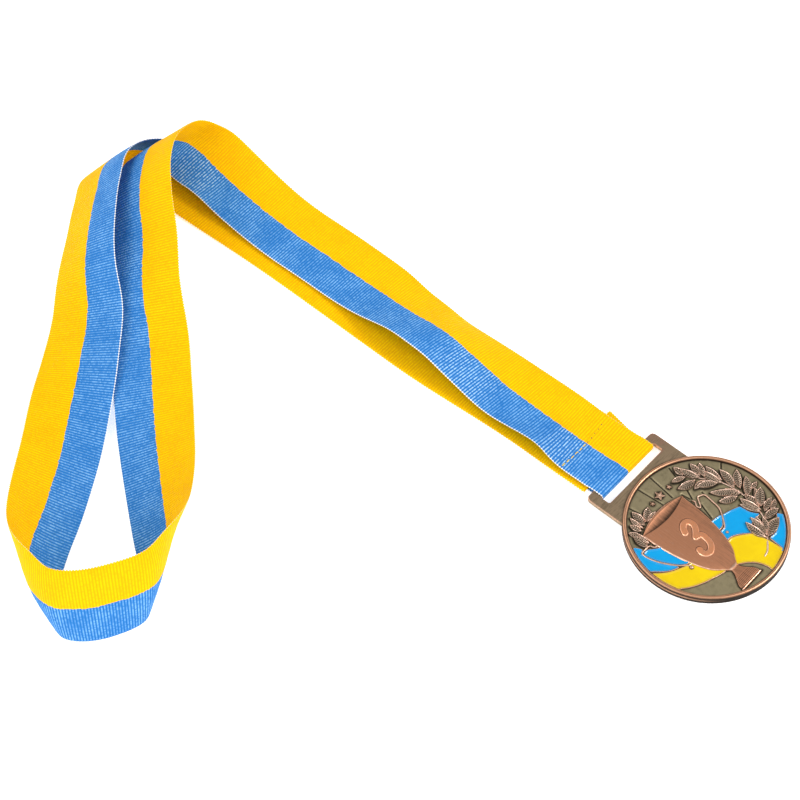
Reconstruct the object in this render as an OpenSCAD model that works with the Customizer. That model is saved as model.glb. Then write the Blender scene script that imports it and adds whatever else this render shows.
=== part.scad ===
// Sports medal on a neck ribbon, in millimetres, lying on its back.
// The origin is the centre of the medal's back face, on the surface that it lies on.
// +Y points to the hanger tab, +X to the right of the relief and +Z up.

/* [Medal] */
// Diameter over the round bead of the rim
medal_d = 50; // [48:0.5:54]
// Thickness from the back to the top of the bead
rim_t = 3; // [2.8:0.1:3.4]
// Width of the round bead
bead_w = 1.3; // [1.1:0.1:1.4]
// Height of the sunk field above the back
field_z = 2; // [1.8:0.1:2.2]
// Bevel along the lower edge
back_bevel = 0.3; // [0.1:0.1:0.5]

/* [Hanger tab] */
// Width of the flat tab that is cast on the rim
tab_w = 32; // [30:0.5:33]
// How far the tab stands out beyond the rim
tab_reach = 8; // [8:0.5:12]
// Thickness of the tab
tab_t = 1.5; // [1.2:0.1:1.6]
// Height of the tab's underside, which leaves room for the ribbon below it
tab_z = 1.05; // [1.05:0.05:1.2]
// Radius of the tab's two outer corners
tab_corner = 1.5; // [0.5:0.25:2.5]
// Width of the slot that the ribbon goes through
slot_w = 25.5; // [25.5:0.1:28]
// Height of the slot
slot_h = 3.4; // [3:0.1:3.6]
// Corner radius of the slot
slot_corner = 0.4; // [0.2:0.05:0.4]
// Width of the bar beyond the slot
bar_h = 3; // [2.6:0.1:3.2]

/* [Relief] */
// Height of the trophy cup's crown above the field
cup_h = 0.8; // [0.7:0.05:1]
// Height of the cup's edge above the field
cup_edge_h = 0.35; // [0.2:0.05:0.5]
// Depth of the cup's open mouth
mouth_depth = 0.5; // [0.3:0.05:0.5]
// Height of the numeral above the cup
numeral_h = 0.25; // [0.15:0.05:0.4]
// Stroke width of the numeral
numeral_stroke = 2; // [1.6:0.1:2]
// Height of the lowest laurel leaves above the field
leaf_h = 0.4; // [0.3:0.05:0.5]
// Widest part of a laurel leaf
leaf_w = 1.8; // [1.4:0.1:2]
// Height of the handles, stem and stars above the field
line_h = 0.5; // [0.35:0.05:0.6]
// Depth of the grooves between the rays
ray_depth = 0.25; // [0.1:0.05:0.4]

/* [Enamel] */
// Depth of the pockets below the field
pool_depth = 0.4; // [0.3:0.1:0.6]
// Height of the enamel above the field
pool_rise = 0.1; // [0:0.05:0.2]
// Clearance round each pool
pool_gap = 0.05; // [0.05:0.01:0.1]
// Width of the ridge round each pool
ridge_w = 0.35; // [0.3:0.05:0.4]
// Height of the ridge above the field
ridge_h = 0.3; // [0.2:0.05:0.4]

/* [Ribbon] */
// Width of the two-coloured ribbon
ribbon_w = 24; // [20:0.5:24]
// Thickness of the ribbon's wall
ribbon_t = 1; // [1:0.01:1.02]
// Length of the stitched end beyond the tab
hem_l = 15; // [10:0.5:20]
// Clearance between the ribbon and the bar
bar_gap = 0.05; // [0.05:0.01:0.1]

/* [Hidden] */
$fn = 96;
COPPER = [0.72, 0.45, 0.33];
BLUE = [0.0, 0.6, 0.9];
YELLOW = [0.96, 0.82, 0.0];

// Values that follow from the driving dimensions
medal_r = medal_d / 2;
// The relief is drawn for a 50 mm medal and scales with it
art = medal_d / 50;
tab_top = medal_r + tab_reach;
bar_y = tab_top - bar_h;
tab_root_y = medal_r * 0.5;
bead_r = bead_w / 2;
bead_mid_r = medal_r - bead_r;
field_r = medal_r - bead_w;
pool_r = field_r - 0.4 * art;
pool_floor_z = field_z - pool_depth;
// A cut runs past the highest relief
cut_top = rim_t + 3;

// Columns of an outline: x, y, and the outline runs anticlockwise
BLUE_LEFT_OUTER = [
    [-20, 11.5], [-24.5, 9], [-25, 4.5], [-22.75, 2.75], [-21, 0.75], [-19, -1],
    [-16.5, -2.25], [-17.75, -0.25], [-19, 2], [-20, 5], [-20.5, 8], [-19, 9.5]];
BLUE_LEFT_INNER = [
    [-18, 8], [-19.75, 8], [-19.25, 5], [-18.25, 2.5], [-17, 0.25], [-15.5, -2],
    [-13.75, -3.5], [-12, -2], [-12, 5.5], [-15, 5.75], [-16.5, 6.75]];
YELLOW_LEFT = [
    [-23.5, 2], [-26, -2], [-24, -6.5], [-22, -7], [-20, -8.5], [-17, -10.25],
    [-12.5, -12], [-8.5, -13.25], [-7, -8], [-11, -3.75], [-13.5, -4.25],
    [-16.75, -3], [-19.25, -1.75], [-21.25, -0.25]];
BLUE_RIGHT_INNER = [[1, 0], [0.5, -3], [3, -3.25], [4.5, -2.25], [6, -0.75], [3, -0.25]];
BLUE_RIGHT = [
    [6.5, -1.25], [5, -3], [3.5, -4.25], [1.5, -4.25], [-1, -7.5], [1.5, -7.25],
    [3.75, -8.25], [6.25, -10.25], [7.5, -11.5], [9.5, -9.25], [13.75, -9],
    [12.5, -6.75], [12, -3.25], [9, -2]];
YELLOW_RIGHT = [
    [0.5, -8], [-3, -9], [-4.5, -14.25], [-1.5, -16.5], [0.25, -18.75], [1.25, -21.5],
    [1.25, -25], [8.5, -24], [8.5, -20], [8.25, -17], [7.75, -14.5], [7, -12],
    [5.75, -10.75], [3.5, -9], [1.5, -8]];
BLUE_LOWER_RIGHT = [
    [9.5, -16.5], [9.25, -20], [9, -25], [18, -20], [19, -16], [17.5, -13],
    [16.5, -14], [15.5, -15], [13.75, -16.25], [11.75, -16.75]];
POOLS = [BLUE_LEFT_OUTER, BLUE_LEFT_INNER, YELLOW_LEFT, BLUE_RIGHT_INNER, BLUE_RIGHT,
         YELLOW_RIGHT, BLUE_LOWER_RIGHT];
pool_corner = 0.8;

// Columns: y, half width of the cup there; its axis is at cup_x
cup_x = -5.75;
CUP_BOWL = [
    [14.25, 2.5], [13.5, 6], [12, 9.5], [4, 9], [-3, 7.75], [-9.5, 5.5], [-13, 2.75],
    [-14.5, 1.5], [-15.25, 1]];
CUP_FOOT = [[-14.5, 1], [-16, 1.25], [-17.5, 1.75], [-19.5, 4.25], [-21.25, 4.5]];
mouth_w = 18;
mouth_y = 12;
mouth_up = 1.5;
mouth_down = 2;

// Columns of a drawn line: x, y of its middle
NUMERAL_UPPER = [
    [-6.25, 3.25], [-5.25, 4.75], [-3.75, 5.5], [-2.5, 5], [-2.25, 3.5], [-2.75, 2.25],
    [-4, 1], [-5.25, 0]];
NUMERAL_LOWER = [
    [-5, 0], [-3.5, -0.75], [-3.5, -2.5], [-4, -4.25], [-5, -5.5], [-6.5, -6.25],
    [-7.75, -5.75], [-8.25, -4.5], [-8, -3.5]];
HANDLE_LEFT = [
    [-15, 7.25], [-16.5, 8.5], [-18.5, 8.75], [-20, 8.5], [-20, 6.25], [-19.25, 3.5],
    [-18, 1], [-16.25, -1.75], [-14.5, -3.75], [-13.5, -5]];
HANDLE_RIGHT = [
    [4, 7], [4.75, 6.5], [5.5, 7.25], [6.5, 8.25], [7.5, 8], [8.5, 7.25], [8.5, 5.75],
    [8.25, 4.25], [8, 2.25], [7.5, 0.75], [6.25, -1], [5, -2.5], [3.5, -4], [2.25, -4.25]];
STEM = [
    [3.25, -19], [5.25, -18.5], [8, -16.5], [11.5, -13.5], [14, -10.5], [15.5, -6],
    [16.25, -1.5], [15.75, 5], [13.5, 10], [10, 15.25]];
LINES = [HANDLE_LEFT, HANDLE_RIGHT, STEM];
line_w = 0.55;

// Columns of a laurel leaf: x, y of its base, x, y of its tip
LEAVES_RIGHT = [
    [9.75, 15.25, 5, 17.5], [9.5, 12.75, 4.5, 14.75], [11, 13.25, 10, 19.75],
    [13, 12.75, 13.75, 17.5], [12.5, 10, 8.25, 11.5], [13.75, 7, 9.75, 10.25],
    [14.5, 7, 14.75, 12.75], [16, 7, 16.5, 13.5], [15.5, 3.5, 10, 6.5],
    [16.75, 2.5, 18.25, 9.25], [17, 0.5, 22, 5.5], [16.25, -1, 11.5, 3.75],
    [16.75, -1.5, 21.75, 2], [15.5, -1.5, 9.5, 2.5], [16.5, -5, 22.25, -1.5],
    [13.75, -8.5, 13, -1.25], [14.75, -8.5, 15.75, -1.5], [15, -8.75, 19.5, -2.5],
    [16, -8.75, 21.5, -4], [14.5, -9.75, 20.25, -8.5], [13.5, -11.5, 19.25, -12]];
LEAVES_LOW = [
    [8.25, -16.25, 8.75, -7.75], [9, -15.75, 11, -8.25], [9.75, -15, 13.25, -9.75],
    [9.25, -16, 16.75, -14.25]];
LEAVES_LEFT = [
    [-12.25, 14.5, -11, 19.75], [-13, 14.75, -12.5, 18.75], [-14.25, 14, -15, 17.5],
    [-15.25, 13.75, -17.5, 16], [-17.5, 8.75, -17.5, 14], [-16, 9, -15.5, 13.5],
    [-10.5, 15.5, -6.25, 17.5], [-10.5, 14.5, -6, 14.75]];
LEAVES = concat(LEAVES_RIGHT, LEAVES_LOW, LEAVES_LEFT);
leaf_step = 0.12;
leaf_levels = 3;
// Where the raised vein starts and ends along a leaf
vein_span = [0.2, 0.8];
vein_w = 0.3;
vein_h = 0.12;

// Columns of a star: x, y, radius
STARS = [[-0.5, 17.25, 2], [-4.25, 17, 1.1], [3.75, 17, 1.1]];
star_points = 5;
star_waist = 0.45;

// Columns of a groove between two rays: x, y at the rim, x, y at its inner end
RAYS = [
    [-3.25, 23, -2.5, 14.75], [2.5, 23, 1.25, 14.5], [-10, 21, -9.5, 17.5],
    [8.75, 21, 7.5, 18.5], [21, 10.5, 19, 9], [7.25, 13.75, 6, 9.75],
    [4.25, 12.5, 4.75, 9.5], [9, 8.5, 8.5, 6.5], [5.25, 6, 3.5, 0.5]];
ray_w = 0.3;

// Columns of the ribbon's route, from the tab round the loop and back to it:
// x, y and height of the middle line, heading of the direction from the blue edge to
// the yellow edge, how steeply that direction climbs, and how far the section bows
ROUTE = [
    [-0.5, 36, 2.7, 0, 0, 0], [-1, 49, 2.8, 3, -2, -0.5], [-1, 55.5, 2.8, 1, -7, -2],
    [-0.75, 73.5, 2.7, -4, -3, -0.25], [0.25, 90.5, 4.4, -4, -12, 1.25], [0.5, 103, 6.2, -4, -19, 1.75],
    [0.5, 117, 4, -2, -17, 0], [1, 131, 2.4, -1, -4, 0], [1, 148, 1.7, 0, 0, 0],
    [0.5, 168, 1.8, 0, 0, 0], [1, 188, 3, -1, 4, -1], [1.5, 203, 6, -6, 15, -3],
    [0.5, 211.5, 10.9, -30, 39, -1.5], [-6, 214.5, 17, -42, 43, 0],
    [-13.5, 215.5, 19.7, -52, 42, -0.5], [-20.5, 212, 19.9, -56, 41, -0.5],
    [-30.5, 204, 17.4, -55, 36, -1], [-39, 194.5, 13.6, -51, 30, -0.5],
    [-50, 184.5, 10.2, -49, 19, -0.5], [-62, 170, 5.8, -45, 9, 0],
    [-75, 156, 4.8, -42, 7, 0], [-87.5, 142, 5.4, -39, 17, 0], [-100, 127, 6.8, -37, 31, 1],
    [-110, 115, 9.6, -31, 46, 2.5], [-118.5, 107, 11.4, -6, 70, 3],
    [-126, 104, 12.2, 35, 68, 2], [-136, 108, 12, 48, 64, 1], [-146, 115, 12, 52, 63, 1],
    [-151, 123, 12, 56, 64, 2], [-150, 131, 11.6, 70, 66, 3], [-140, 142, 8, 115, 48, 3],
    [-126, 150, 7, 122, 33, 1], [-110, 160, 6.2, 123, 22, 0], [-95, 171, 5.2, 124, 7, 0],
    [-80, 182, 4.6, 126, -10, 0], [-66, 193, 5.2, 126, -21, 0],
    [-57, 203, 7.8, 121, -34, -0.5], [-45, 213, 10, 119, -43, -0.5],
    [-33, 221.5, 10.6, 121, -46, 0], [-22.5, 227.5, 10.3, 129, -45, 0],
    [-14.5, 227, 9.7, 130, -43, -1.5], [-9, 224, 6.8, 146, -32, -3],
    [-7, 214, 2.6, 166, -15, -2], [-6, 203, 1, 174, -5, -1], [-5, 188, 0.5, 180, 0, 0],
    [-4, 150, 0.5, 180, 0, 0], [-4, 110, 0.5, 180, 0, 0], [-1.5, 58, 0.5, 180, 0, 0],
    [-0.5, 49, 1.6, 180, 0, 0], [-0.5, 35, 1.6, 180, 0, 0]];
// The route is drawn for a tab whose outer edge is at 33 mm
route_shift = tab_top - 33;
route_step = 4;
turn_steps = 6;
section_steps = 6;

// Helpers for outlines and lines

function unit(v) = v / norm(v);

// A closed outline with each corner cut by a short curve
function softened(p, r) = [
    for (i = [0 : len(p) - 1])
        let (
            here = p[i],
            before = p[(i + len(p) - 1) % len(p)] - here,
            after = p[(i + 1) % len(p)] - here,
            a = here + unit(before) * min(r, norm(before) * 0.45),
            b = here + unit(after) * min(r, norm(after) * 0.45)
        )
        each [a, (a + 2 * here + b) / 4, b]];

// A closed anticlockwise outline moved outward by d
function grown(p, d) = [
    for (i = [0 : len(p) - 1])
        let (along = unit(p[(i + 1) % len(p)] - p[(i + len(p) - 1) % len(p)]))
        p[i] + [along[1], -along[0]] * d];

// Points along a smooth curve through the points of an open line
function curved(p, steps) = [
    for (i = [0 : len(p) - 2])
        let (
            a = p[i],
            b = p[i + 1],
            sa = (b - p[max(i - 1, 0)]) / 2,
            sb = (p[min(i + 2, len(p) - 1)] - a) / 2
        )
        for (s = [0 : steps - (i < len(p) - 2 ? 1 : 0)])
            let (u = s / steps)
            a * (1 + 2 * u) * (1 - u) * (1 - u) + b * u * u * (3 - 2 * u)
                + sa * u * (1 - u) * (1 - u) - sb * u * u * (1 - u)];

// One side of a line of width w
function beside(p, w) = [
    for (i = [0 : len(p) - 1])
        let (along = unit(p[min(i + 1, len(p) - 1)] - p[max(i - 1, 0)]))
        p[i] + [along[1], -along[0]] * w / 2];

function reversed(p) = [for (i = [len(p) - 1 : -1 : 0]) p[i]];

function sag_radius(l, sag) = (l * l / 4 + sag * sag) / (2 * sag);

// A drawn line of width w through the points of a table
module stroke(points, w) {
    middle = curved(points, 3);
    polygon(art * concat(beside(middle, w), reversed(beside(middle, -w))));
}

// A shape between two arcs over a chord of length l along X
module lens(l, up, down) {
    up_r = sag_radius(l, up);
    down_r = sag_radius(l, down);
    intersection() {
        translate([l / 2, up - up_r])
            circle(r = up_r);
        translate([l / 2, down_r - down])
            circle(r = down_r);
    }
}

module round_rect(w, h, r) {
    translate([-w / 2, r])
        square([w, h - 2 * r]);
    translate([r - w / 2, 0])
        square([w - 2 * r, h]);
    for (x = [r - w / 2, w / 2 - r], y = [r, h - r])
        translate([x, y])
            circle(r = r);
}

// Body of the medal

module rimmed_disc() {
    rotate_extrude() {
        polygon([[0, 0], [medal_r - back_bevel, 0], [medal_r, back_bevel],
                 [medal_r, rim_t - bead_r], [field_r, rim_t - bead_r],
                 [field_r, field_z], [0, field_z]]);
        translate([bead_mid_r, rim_t - bead_r])
            circle(r = bead_r);
    }
}

module hanger_tab() {
    difference() {
        translate([0, tab_root_y, tab_z])
            linear_extrude(tab_t)
                round_rect(tab_w, tab_top - tab_root_y, tab_corner);
        translate([0, 0, -1])
            cylinder(h = cut_top, r = bead_mid_r);
        translate([0, bar_y - slot_h, 0])
            linear_extrude(cut_top)
                round_rect(slot_w, slot_h, slot_corner);
    }
}

module ray_grooves() {
    translate([0, 0, field_z - ray_depth])
        linear_extrude(cut_top)
            for (r = RAYS)
                polygon(art * concat(
                    beside([[r[0], r[1]], [r[2], r[3]]], ray_w),
                    reversed(beside([[r[0], r[1]], [r[2], r[3]]], -ray_w))));
}

// Relief

module cup_outline(table, grow) {
    polygon(art * concat(
        [for (row = table) [cup_x + row[1] + grow, row[0]]],
        reversed([for (row = table) [cup_x - row[1] - grow, row[0]]])));
}

// A low half-round crown over the cup's axis
module crowned(half_w) {
    rise = cup_h - cup_edge_h;
    crown_r = sag_radius(2 * half_w * art, rise);
    intersection() {
        translate([0, 0, pool_floor_z])
            linear_extrude(pool_depth + cup_h)
                children();
        translate([cup_x * art, 0, field_z + cup_h - crown_r])
            rotate([90, 0, 0])
                cylinder(h = medal_d, r = crown_r, center = true, $fn = 720);
    }
}

module cup() {
    difference() {
        crowned(CUP_BOWL[2][1])
            cup_outline(CUP_BOWL, 0);
        translate([(cup_x - mouth_w / 2) * art, mouth_y * art, field_z + cup_h - mouth_depth])
            linear_extrude(cut_top)
                lens(mouth_w * art, mouth_up * art, mouth_down * art);
    }
    translate([0, 0, pool_floor_z])
        linear_extrude(cup_edge_h + pool_depth)
            cup_outline(CUP_FOOT, 0);
}

module numeral() {
    translate([0, 0, field_z])
        linear_extrude(cup_h + numeral_h) {
            stroke(NUMERAL_UPPER, numeral_stroke);
            stroke(NUMERAL_LOWER, numeral_stroke);
        }
}

function leaf_point(row, u) = [row[0], row[1]] * (1 - u) + [row[2], row[3]] * u;

// The outline reaches past the base and the tip by extra
module leaf_outline(row, w, extra = 0) {
    run = [row[2] - row[0], row[3] - row[1]];
    translate([row[0], row[1]] * art)
        rotate(atan2(run[1], run[0]))
            translate([-extra, 0])
                lens(norm(run) * art + 2 * extra, w / 2, w / 2);
}

// Each leaf stands a little higher or lower than the one beside it
module leaves() {
    for (level = [0 : leaf_levels - 1]) {
        h = pool_depth + leaf_h + leaf_step * level;
        translate([0, 0, pool_floor_z])
            linear_extrude(h)
                for (i = [level : leaf_levels : len(LEAVES) - 1])
                    leaf_outline(LEAVES[i], leaf_w);
        translate([0, 0, pool_floor_z + h - vein_h])
            linear_extrude(2 * vein_h)
                for (i = [level : leaf_levels : len(LEAVES) - 1])
                    stroke([for (u = vein_span) leaf_point(LEAVES[i], u)], vein_w);
    }
}

module star(row) {
    translate([row[0], row[1]] * art)
        polygon([
            for (i = [0 : 2 * star_points - 1])
                let (r = art * row[2] * (i % 2 == 0 ? 1 : star_waist), a = 90 + i * 180 / star_points)
                r * [cos(a), sin(a)]]);
}

module lines_and_stars() {
    translate([0, 0, pool_floor_z])
        linear_extrude(pool_depth + line_h) {
            for (line = LINES)
                stroke(line, line_w);
            for (row = STARS)
                star(row);
        }
}

// Enamel

// What stands up through the pools and keeps them clear of it
module keep_out(gap) {
    cup_outline(CUP_BOWL, gap);
    for (line = LINES)
        stroke(line, line_w + 2 * gap);
    for (row = LEAVES_LOW)
        leaf_outline(row, leaf_w + 2 * gap, 4 * gap);
}

module pool_outline(i, grow) {
    intersection() {
        polygon(art * grown(softened(POOLS[i], pool_corner), grow));
        circle(r = pool_r + grow);
    }
}

module pool_ridges() {
    translate([0, 0, pool_floor_z])
        linear_extrude(pool_depth + ridge_h)
            for (i = [0 : len(POOLS) - 1])
                pool_outline(i, ridge_w);
}

module pool_pockets() {
    translate([0, 0, pool_floor_z])
        for (i = [0 : len(POOLS) - 1])
            linear_extrude(cut_top)
                pool_outline(i, 0);
}

module enamel(i) {
    translate([0, 0, pool_floor_z])
        linear_extrude(pool_depth + pool_rise)
            difference() {
                pool_outline(i, -pool_gap);
                keep_out(pool_gap);
            }
}

// The whole casting: disc, rim, tab and relief
module medal() {
    color(COPPER) {
        difference() {
            union() {
                rimmed_disc();
                hanger_tab();
                pool_ridges();
            }
            pool_pockets();
            ray_grooves();
        }
        cup();
        numeral();
        leaves();
        lines_and_stars();
    }
}

module blue_pool(i) {
    color(BLUE)
        enamel(i);
}

module yellow_pool(i) {
    color(YELLOW)
        enamel(i);
}

// Ribbon

// Slope at a knot: none where the value turns round, and limited so that it never overshoots
function knot_slope(s0, s1, d0, d1) =
    let (mean = (s0 * d1 + s1 * d0) / (d0 + d1))
    s0 * s1 <= 0 ? 0 : sign(mean) * min(abs(mean), 3 * min(abs(s0), abs(s1)));

function row_slopes(knots, rows) = [
    for (i = [0 : len(rows) - 1])
        let (
            d0 = i > 0 ? knots[i] - knots[i - 1] : 1,
            d1 = i < len(rows) - 1 ? knots[i + 1] - knots[i] : 1,
            s0 = i > 0 ? (rows[i] - rows[i - 1]) / d0 : (rows[1] - rows[0]) / d1,
            s1 = i < len(rows) - 1 ? (rows[i + 1] - rows[i]) / d1 : s0
        )
        [for (c = [0 : len(rows[i]) - 1])
            i == 0 || i == len(rows) - 1 ? s0[c] : knot_slope(s0[c], s1[c], d0, d1)]];

// Last knot at or before t
function span_at(knots, t) = min(len(knots) - 2, max([for (i = [0 : len(knots) - 1]) knots[i] <= t ? i : 0]));

function along_rows(knots, rows, slopes, t) =
    let (
        i = span_at(knots, t),
        d = knots[i + 1] - knots[i],
        u = (t - knots[i]) / d
    )
    rows[i] * (1 + 2 * u) * (1 - u) * (1 - u) + slopes[i] * d * u * (1 - u) * (1 - u)
        + rows[i + 1] * u * u * (3 - 2 * u) - slopes[i + 1] * d * u * u * (1 - u);

function run_lengths(p, i = 0, sum = 0) =
    i >= len(p) ? [] : let (s = sum + (i > 0 ? norm(p[i] - p[i - 1]) : 0)) concat([s], run_lengths(p, i + 1, s));

// A station of the ribbon: x, y, z of its middle, its direction across, its bow
route_middles = [for (r = ROUTE) [r[0], r[1] + route_shift, r[2]]];
route_knots = run_lengths(route_middles);
route_rows = [
    for (i = [0 : len(ROUTE) - 1])
        let (r = ROUTE[i])
        concat(route_middles[i], [cos(r[4]) * cos(r[3]), cos(r[4]) * sin(r[3]), sin(r[4])], [r[5]])];
route_slopes = row_slopes(route_knots, route_rows);
route_length = route_knots[len(route_knots) - 1];
route_count = round(route_length / route_step);
route_stations = [
    for (i = [0 : route_count])
        along_rows(route_knots, route_rows, route_slopes, route_length * i / route_count)];

// The stitched end runs back under the bar, turns up through the slot and goes over it
turn_r = tab_t / 2 + bar_gap + ribbon_t / 2;
turn_z = tab_z + tab_t / 2;
turn_y = bar_y + bar_gap;
hem_x = -0.3;
end_stations = concat(
    [for (y = [tab_top + hem_l, tab_top + hem_l / 2, tab_top, turn_y + 1])
        [hem_x, y, turn_z - turn_r, 1, 0, 0, 0]],
    [for (i = [0 : turn_steps])
        let (a = -90 - 180 * i / turn_steps)
        [hem_x, turn_y + turn_r * cos(a), turn_z + turn_r * sin(a), 1, 0, 0, 0]],
    [[hem_x, tab_top + 0.5, turn_z + turn_r, 1, 0, 0, 0]]);
stations = concat(end_stations, route_stations);

function middle(s) = [s[0], s[1], s[2]];
function across(s) = unit([s[3], s[4], s[5]]);

// Points of one section: the upper face from blue to yellow, then the lower face back
function section(i) =
    let (
        s = stations[i],
        ahead = unit(middle(stations[min(i + 1, len(stations) - 1)]) - middle(stations[max(i - 1, 0)])),
        face = unit(cross(across(s), ahead)),
        sides = [for (side = [0.5, -0.5], j = [0 : section_steps])
            let (w = side * (2 * j / section_steps - 1))
            middle(s) + across(s) * w * ribbon_w * (1 - 2 / 3 * pow(2 * s[6] / ribbon_w, 2))
                + face * (side * ribbon_t - s[6] * 4 * w * w)]
    )
    sides;

module ribbon() {
    ring = 2 * (section_steps + 1);
    last = (len(stations) - 1) * ring;
    color(YELLOW)
        polyhedron(
            points = [for (i = [0 : len(stations) - 1]) each section(i)],
            faces = concat(
                [for (j = [0 : section_steps - 1]) [j, j + 1, ring - 2 - j, ring - 1 - j]],
                [for (i = [0 : len(stations) - 2], j = [0 : ring - 1])
                    let (a = i * ring + j, b = i * ring + (j + 1) % ring)
                    each [[b, a, a + ring], [b, a + ring, b + ring]]],
                [for (j = [0 : section_steps - 1])
                    [last + ring - 1 - j, last + ring - 2 - j, last + j + 1, last + j]]),
            convexity = 10);
}

medal();
blue_pool(0);  // blue_pool_left_outer
blue_pool(1);  // blue_pool_left_inner
yellow_pool(2);  // yellow_pool_left
blue_pool(3);  // blue_pool_right_inner
blue_pool(4);  // blue_pool_right
yellow_pool(5);  // yellow_pool_right
blue_pool(6);  // blue_pool_lower_right
ribbon();
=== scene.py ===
"""Sports medal on its neck ribbon, dressed for the render over its fixed frame."""
import logging
from dataclasses import dataclass, field
from enum import Enum

import bpy
import numpy as np
from mathutils import Euler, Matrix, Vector


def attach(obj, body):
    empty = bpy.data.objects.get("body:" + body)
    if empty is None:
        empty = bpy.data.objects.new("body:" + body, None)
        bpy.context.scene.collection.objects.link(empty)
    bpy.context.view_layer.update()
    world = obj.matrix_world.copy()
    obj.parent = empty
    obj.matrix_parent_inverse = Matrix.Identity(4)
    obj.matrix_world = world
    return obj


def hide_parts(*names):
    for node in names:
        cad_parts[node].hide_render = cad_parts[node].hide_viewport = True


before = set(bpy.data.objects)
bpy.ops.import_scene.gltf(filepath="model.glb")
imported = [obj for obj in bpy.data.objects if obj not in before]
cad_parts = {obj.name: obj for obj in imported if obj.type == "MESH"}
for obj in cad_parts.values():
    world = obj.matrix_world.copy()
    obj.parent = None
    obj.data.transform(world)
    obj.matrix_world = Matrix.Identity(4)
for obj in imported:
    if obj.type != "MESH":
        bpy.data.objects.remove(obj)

Array = np.ndarray
Colour = tuple[float, float, float, float]
Table = list[list[float]]

log = logging.getLogger("medal")
# Sizes below are in millimetres, as a maker's drawing has them
MM = 0.001
FIELD_Z = 2.0
FIELD_R = 23.7
POOL_R = 23.3
FLOOR_Z = 1.6

# Outlines of the enamel pools, by the name of each solid: x, y, anticlockwise
POOLS = {
    "blue_pool_left_outer": [
        [-20, 11.5], [-24.5, 9], [-25, 4.5], [-22.75, 2.75], [-21, 0.75], [-19, -1],
        [-16.5, -2.25], [-17.75, -0.25], [-19, 2], [-20, 5], [-20.5, 8], [-19, 9.5]],
    "blue_pool_left_inner": [
        [-18, 8], [-19.75, 8], [-19.25, 5], [-18.25, 2.5], [-17, 0.25], [-15.5, -2],
        [-13.75, -3.5], [-12, -2], [-12, 5.5], [-15, 5.75], [-16.5, 6.75]],
    "yellow_pool_left": [
        [-23.5, 2], [-26, -2], [-24, -6.5], [-22, -7], [-20, -8.5], [-17, -10.25],
        [-12.5, -12], [-8.5, -13.25], [-7, -8], [-11, -3.75], [-13.5, -4.25],
        [-16.75, -3], [-19.25, -1.75], [-21.25, -0.25]],
    "blue_pool_right_inner": [
        [1, 0], [0.5, -3], [3, -3.25], [4.5, -2.25], [6, -0.75], [3, -0.25]],
    "blue_pool_right": [
        [6.5, -1.25], [5, -3], [3.5, -4.25], [1.5, -4.25], [-1, -7.5], [1.5, -7.25],
        [3.75, -8.25], [6.25, -10.25], [7.5, -11.5], [9.5, -9.25], [13.75, -9],
        [12.5, -6.75], [12, -3.25], [9, -2]],
    "yellow_pool_right": [
        [0.5, -8], [-3, -9], [-4.5, -14.25], [-1.5, -16.5], [0.25, -18.75], [1.25, -21.5],
        [1.25, -25], [8.5, -24], [8.5, -20], [8.25, -17], [7.75, -14.5], [7, -12],
        [5.75, -10.75], [3.5, -9], [1.5, -8]],
    "blue_pool_lower_right": [
        [9.5, -16.5], [9.25, -20], [9, -25], [18, -20], [19, -16], [17.5, -13],
        [16.5, -14], [15.5, -15], [13.75, -16.25], [11.75, -16.75]]}

# The cup's half width at each y
CUP_X = -5.75
CUP_BOWL = [
    [14.25, 9.5], [12, 9.5], [4, 9], [-3, 7.75], [-9.5, 5.5], [-13, 2.75], [-14.5, 1.5],
    [-15.25, 1]]
CUP_FOOT = [[-14.5, 1.25], [-16, 1.75], [-17.5, 2.75], [-19.25, 4], [-21.25, 4.5]]

# Middles of drawn lines: x, y
NUMERAL_UPPER = [
    [-6.25, 3.25], [-5.25, 4.75], [-3.75, 5.5], [-2.5, 5], [-2.25, 3.5], [-2.75, 2.25],
    [-4, 1], [-5.25, 0]]
NUMERAL_LOWER = [
    [-5, 0], [-3.5, -0.75], [-3.5, -2.5], [-4, -4.25], [-5, -5.5], [-6.5, -6.25],
    [-7.75, -5.75], [-8.25, -4.5], [-8, -3.5]]
HANDLE_LEFT = [
    [-15.4, 7.9], [-14.9, 7.4], [-15.2, 6.9], [-15.9, 7.2], [-16.5, 8.5], [-18.5, 8.75],
    [-20, 8.5], [-20, 6.25], [-19.25, 3.5], [-18, 1], [-16.25, -1.75], [-14.5, -3.75],
    [-13.5, -5]]
HANDLE_RIGHT = [
    [4.25, 8.75], [4.75, 8], [4.25, 7.25], [3.75, 6.5], [4, 5.5], [4.75, 6], [5.5, 7],
    [6.5, 8.25], [7.5, 8], [8.5, 7.25], [8.5, 5.75], [8.25, 4.25], [8, 2.25], [7.5, 0.75],
    [6.25, -1], [5, -2.5], [3.5, -4], [2.25, -4.25]]
STEM = [
    [3.25, -19], [5.25, -18.5], [8, -16.5], [11.5, -13.5], [14, -10.5], [15.5, -6],
    [16.25, -1.5], [15.75, 5], [13.5, 10], [10, 15.25]]

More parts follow.
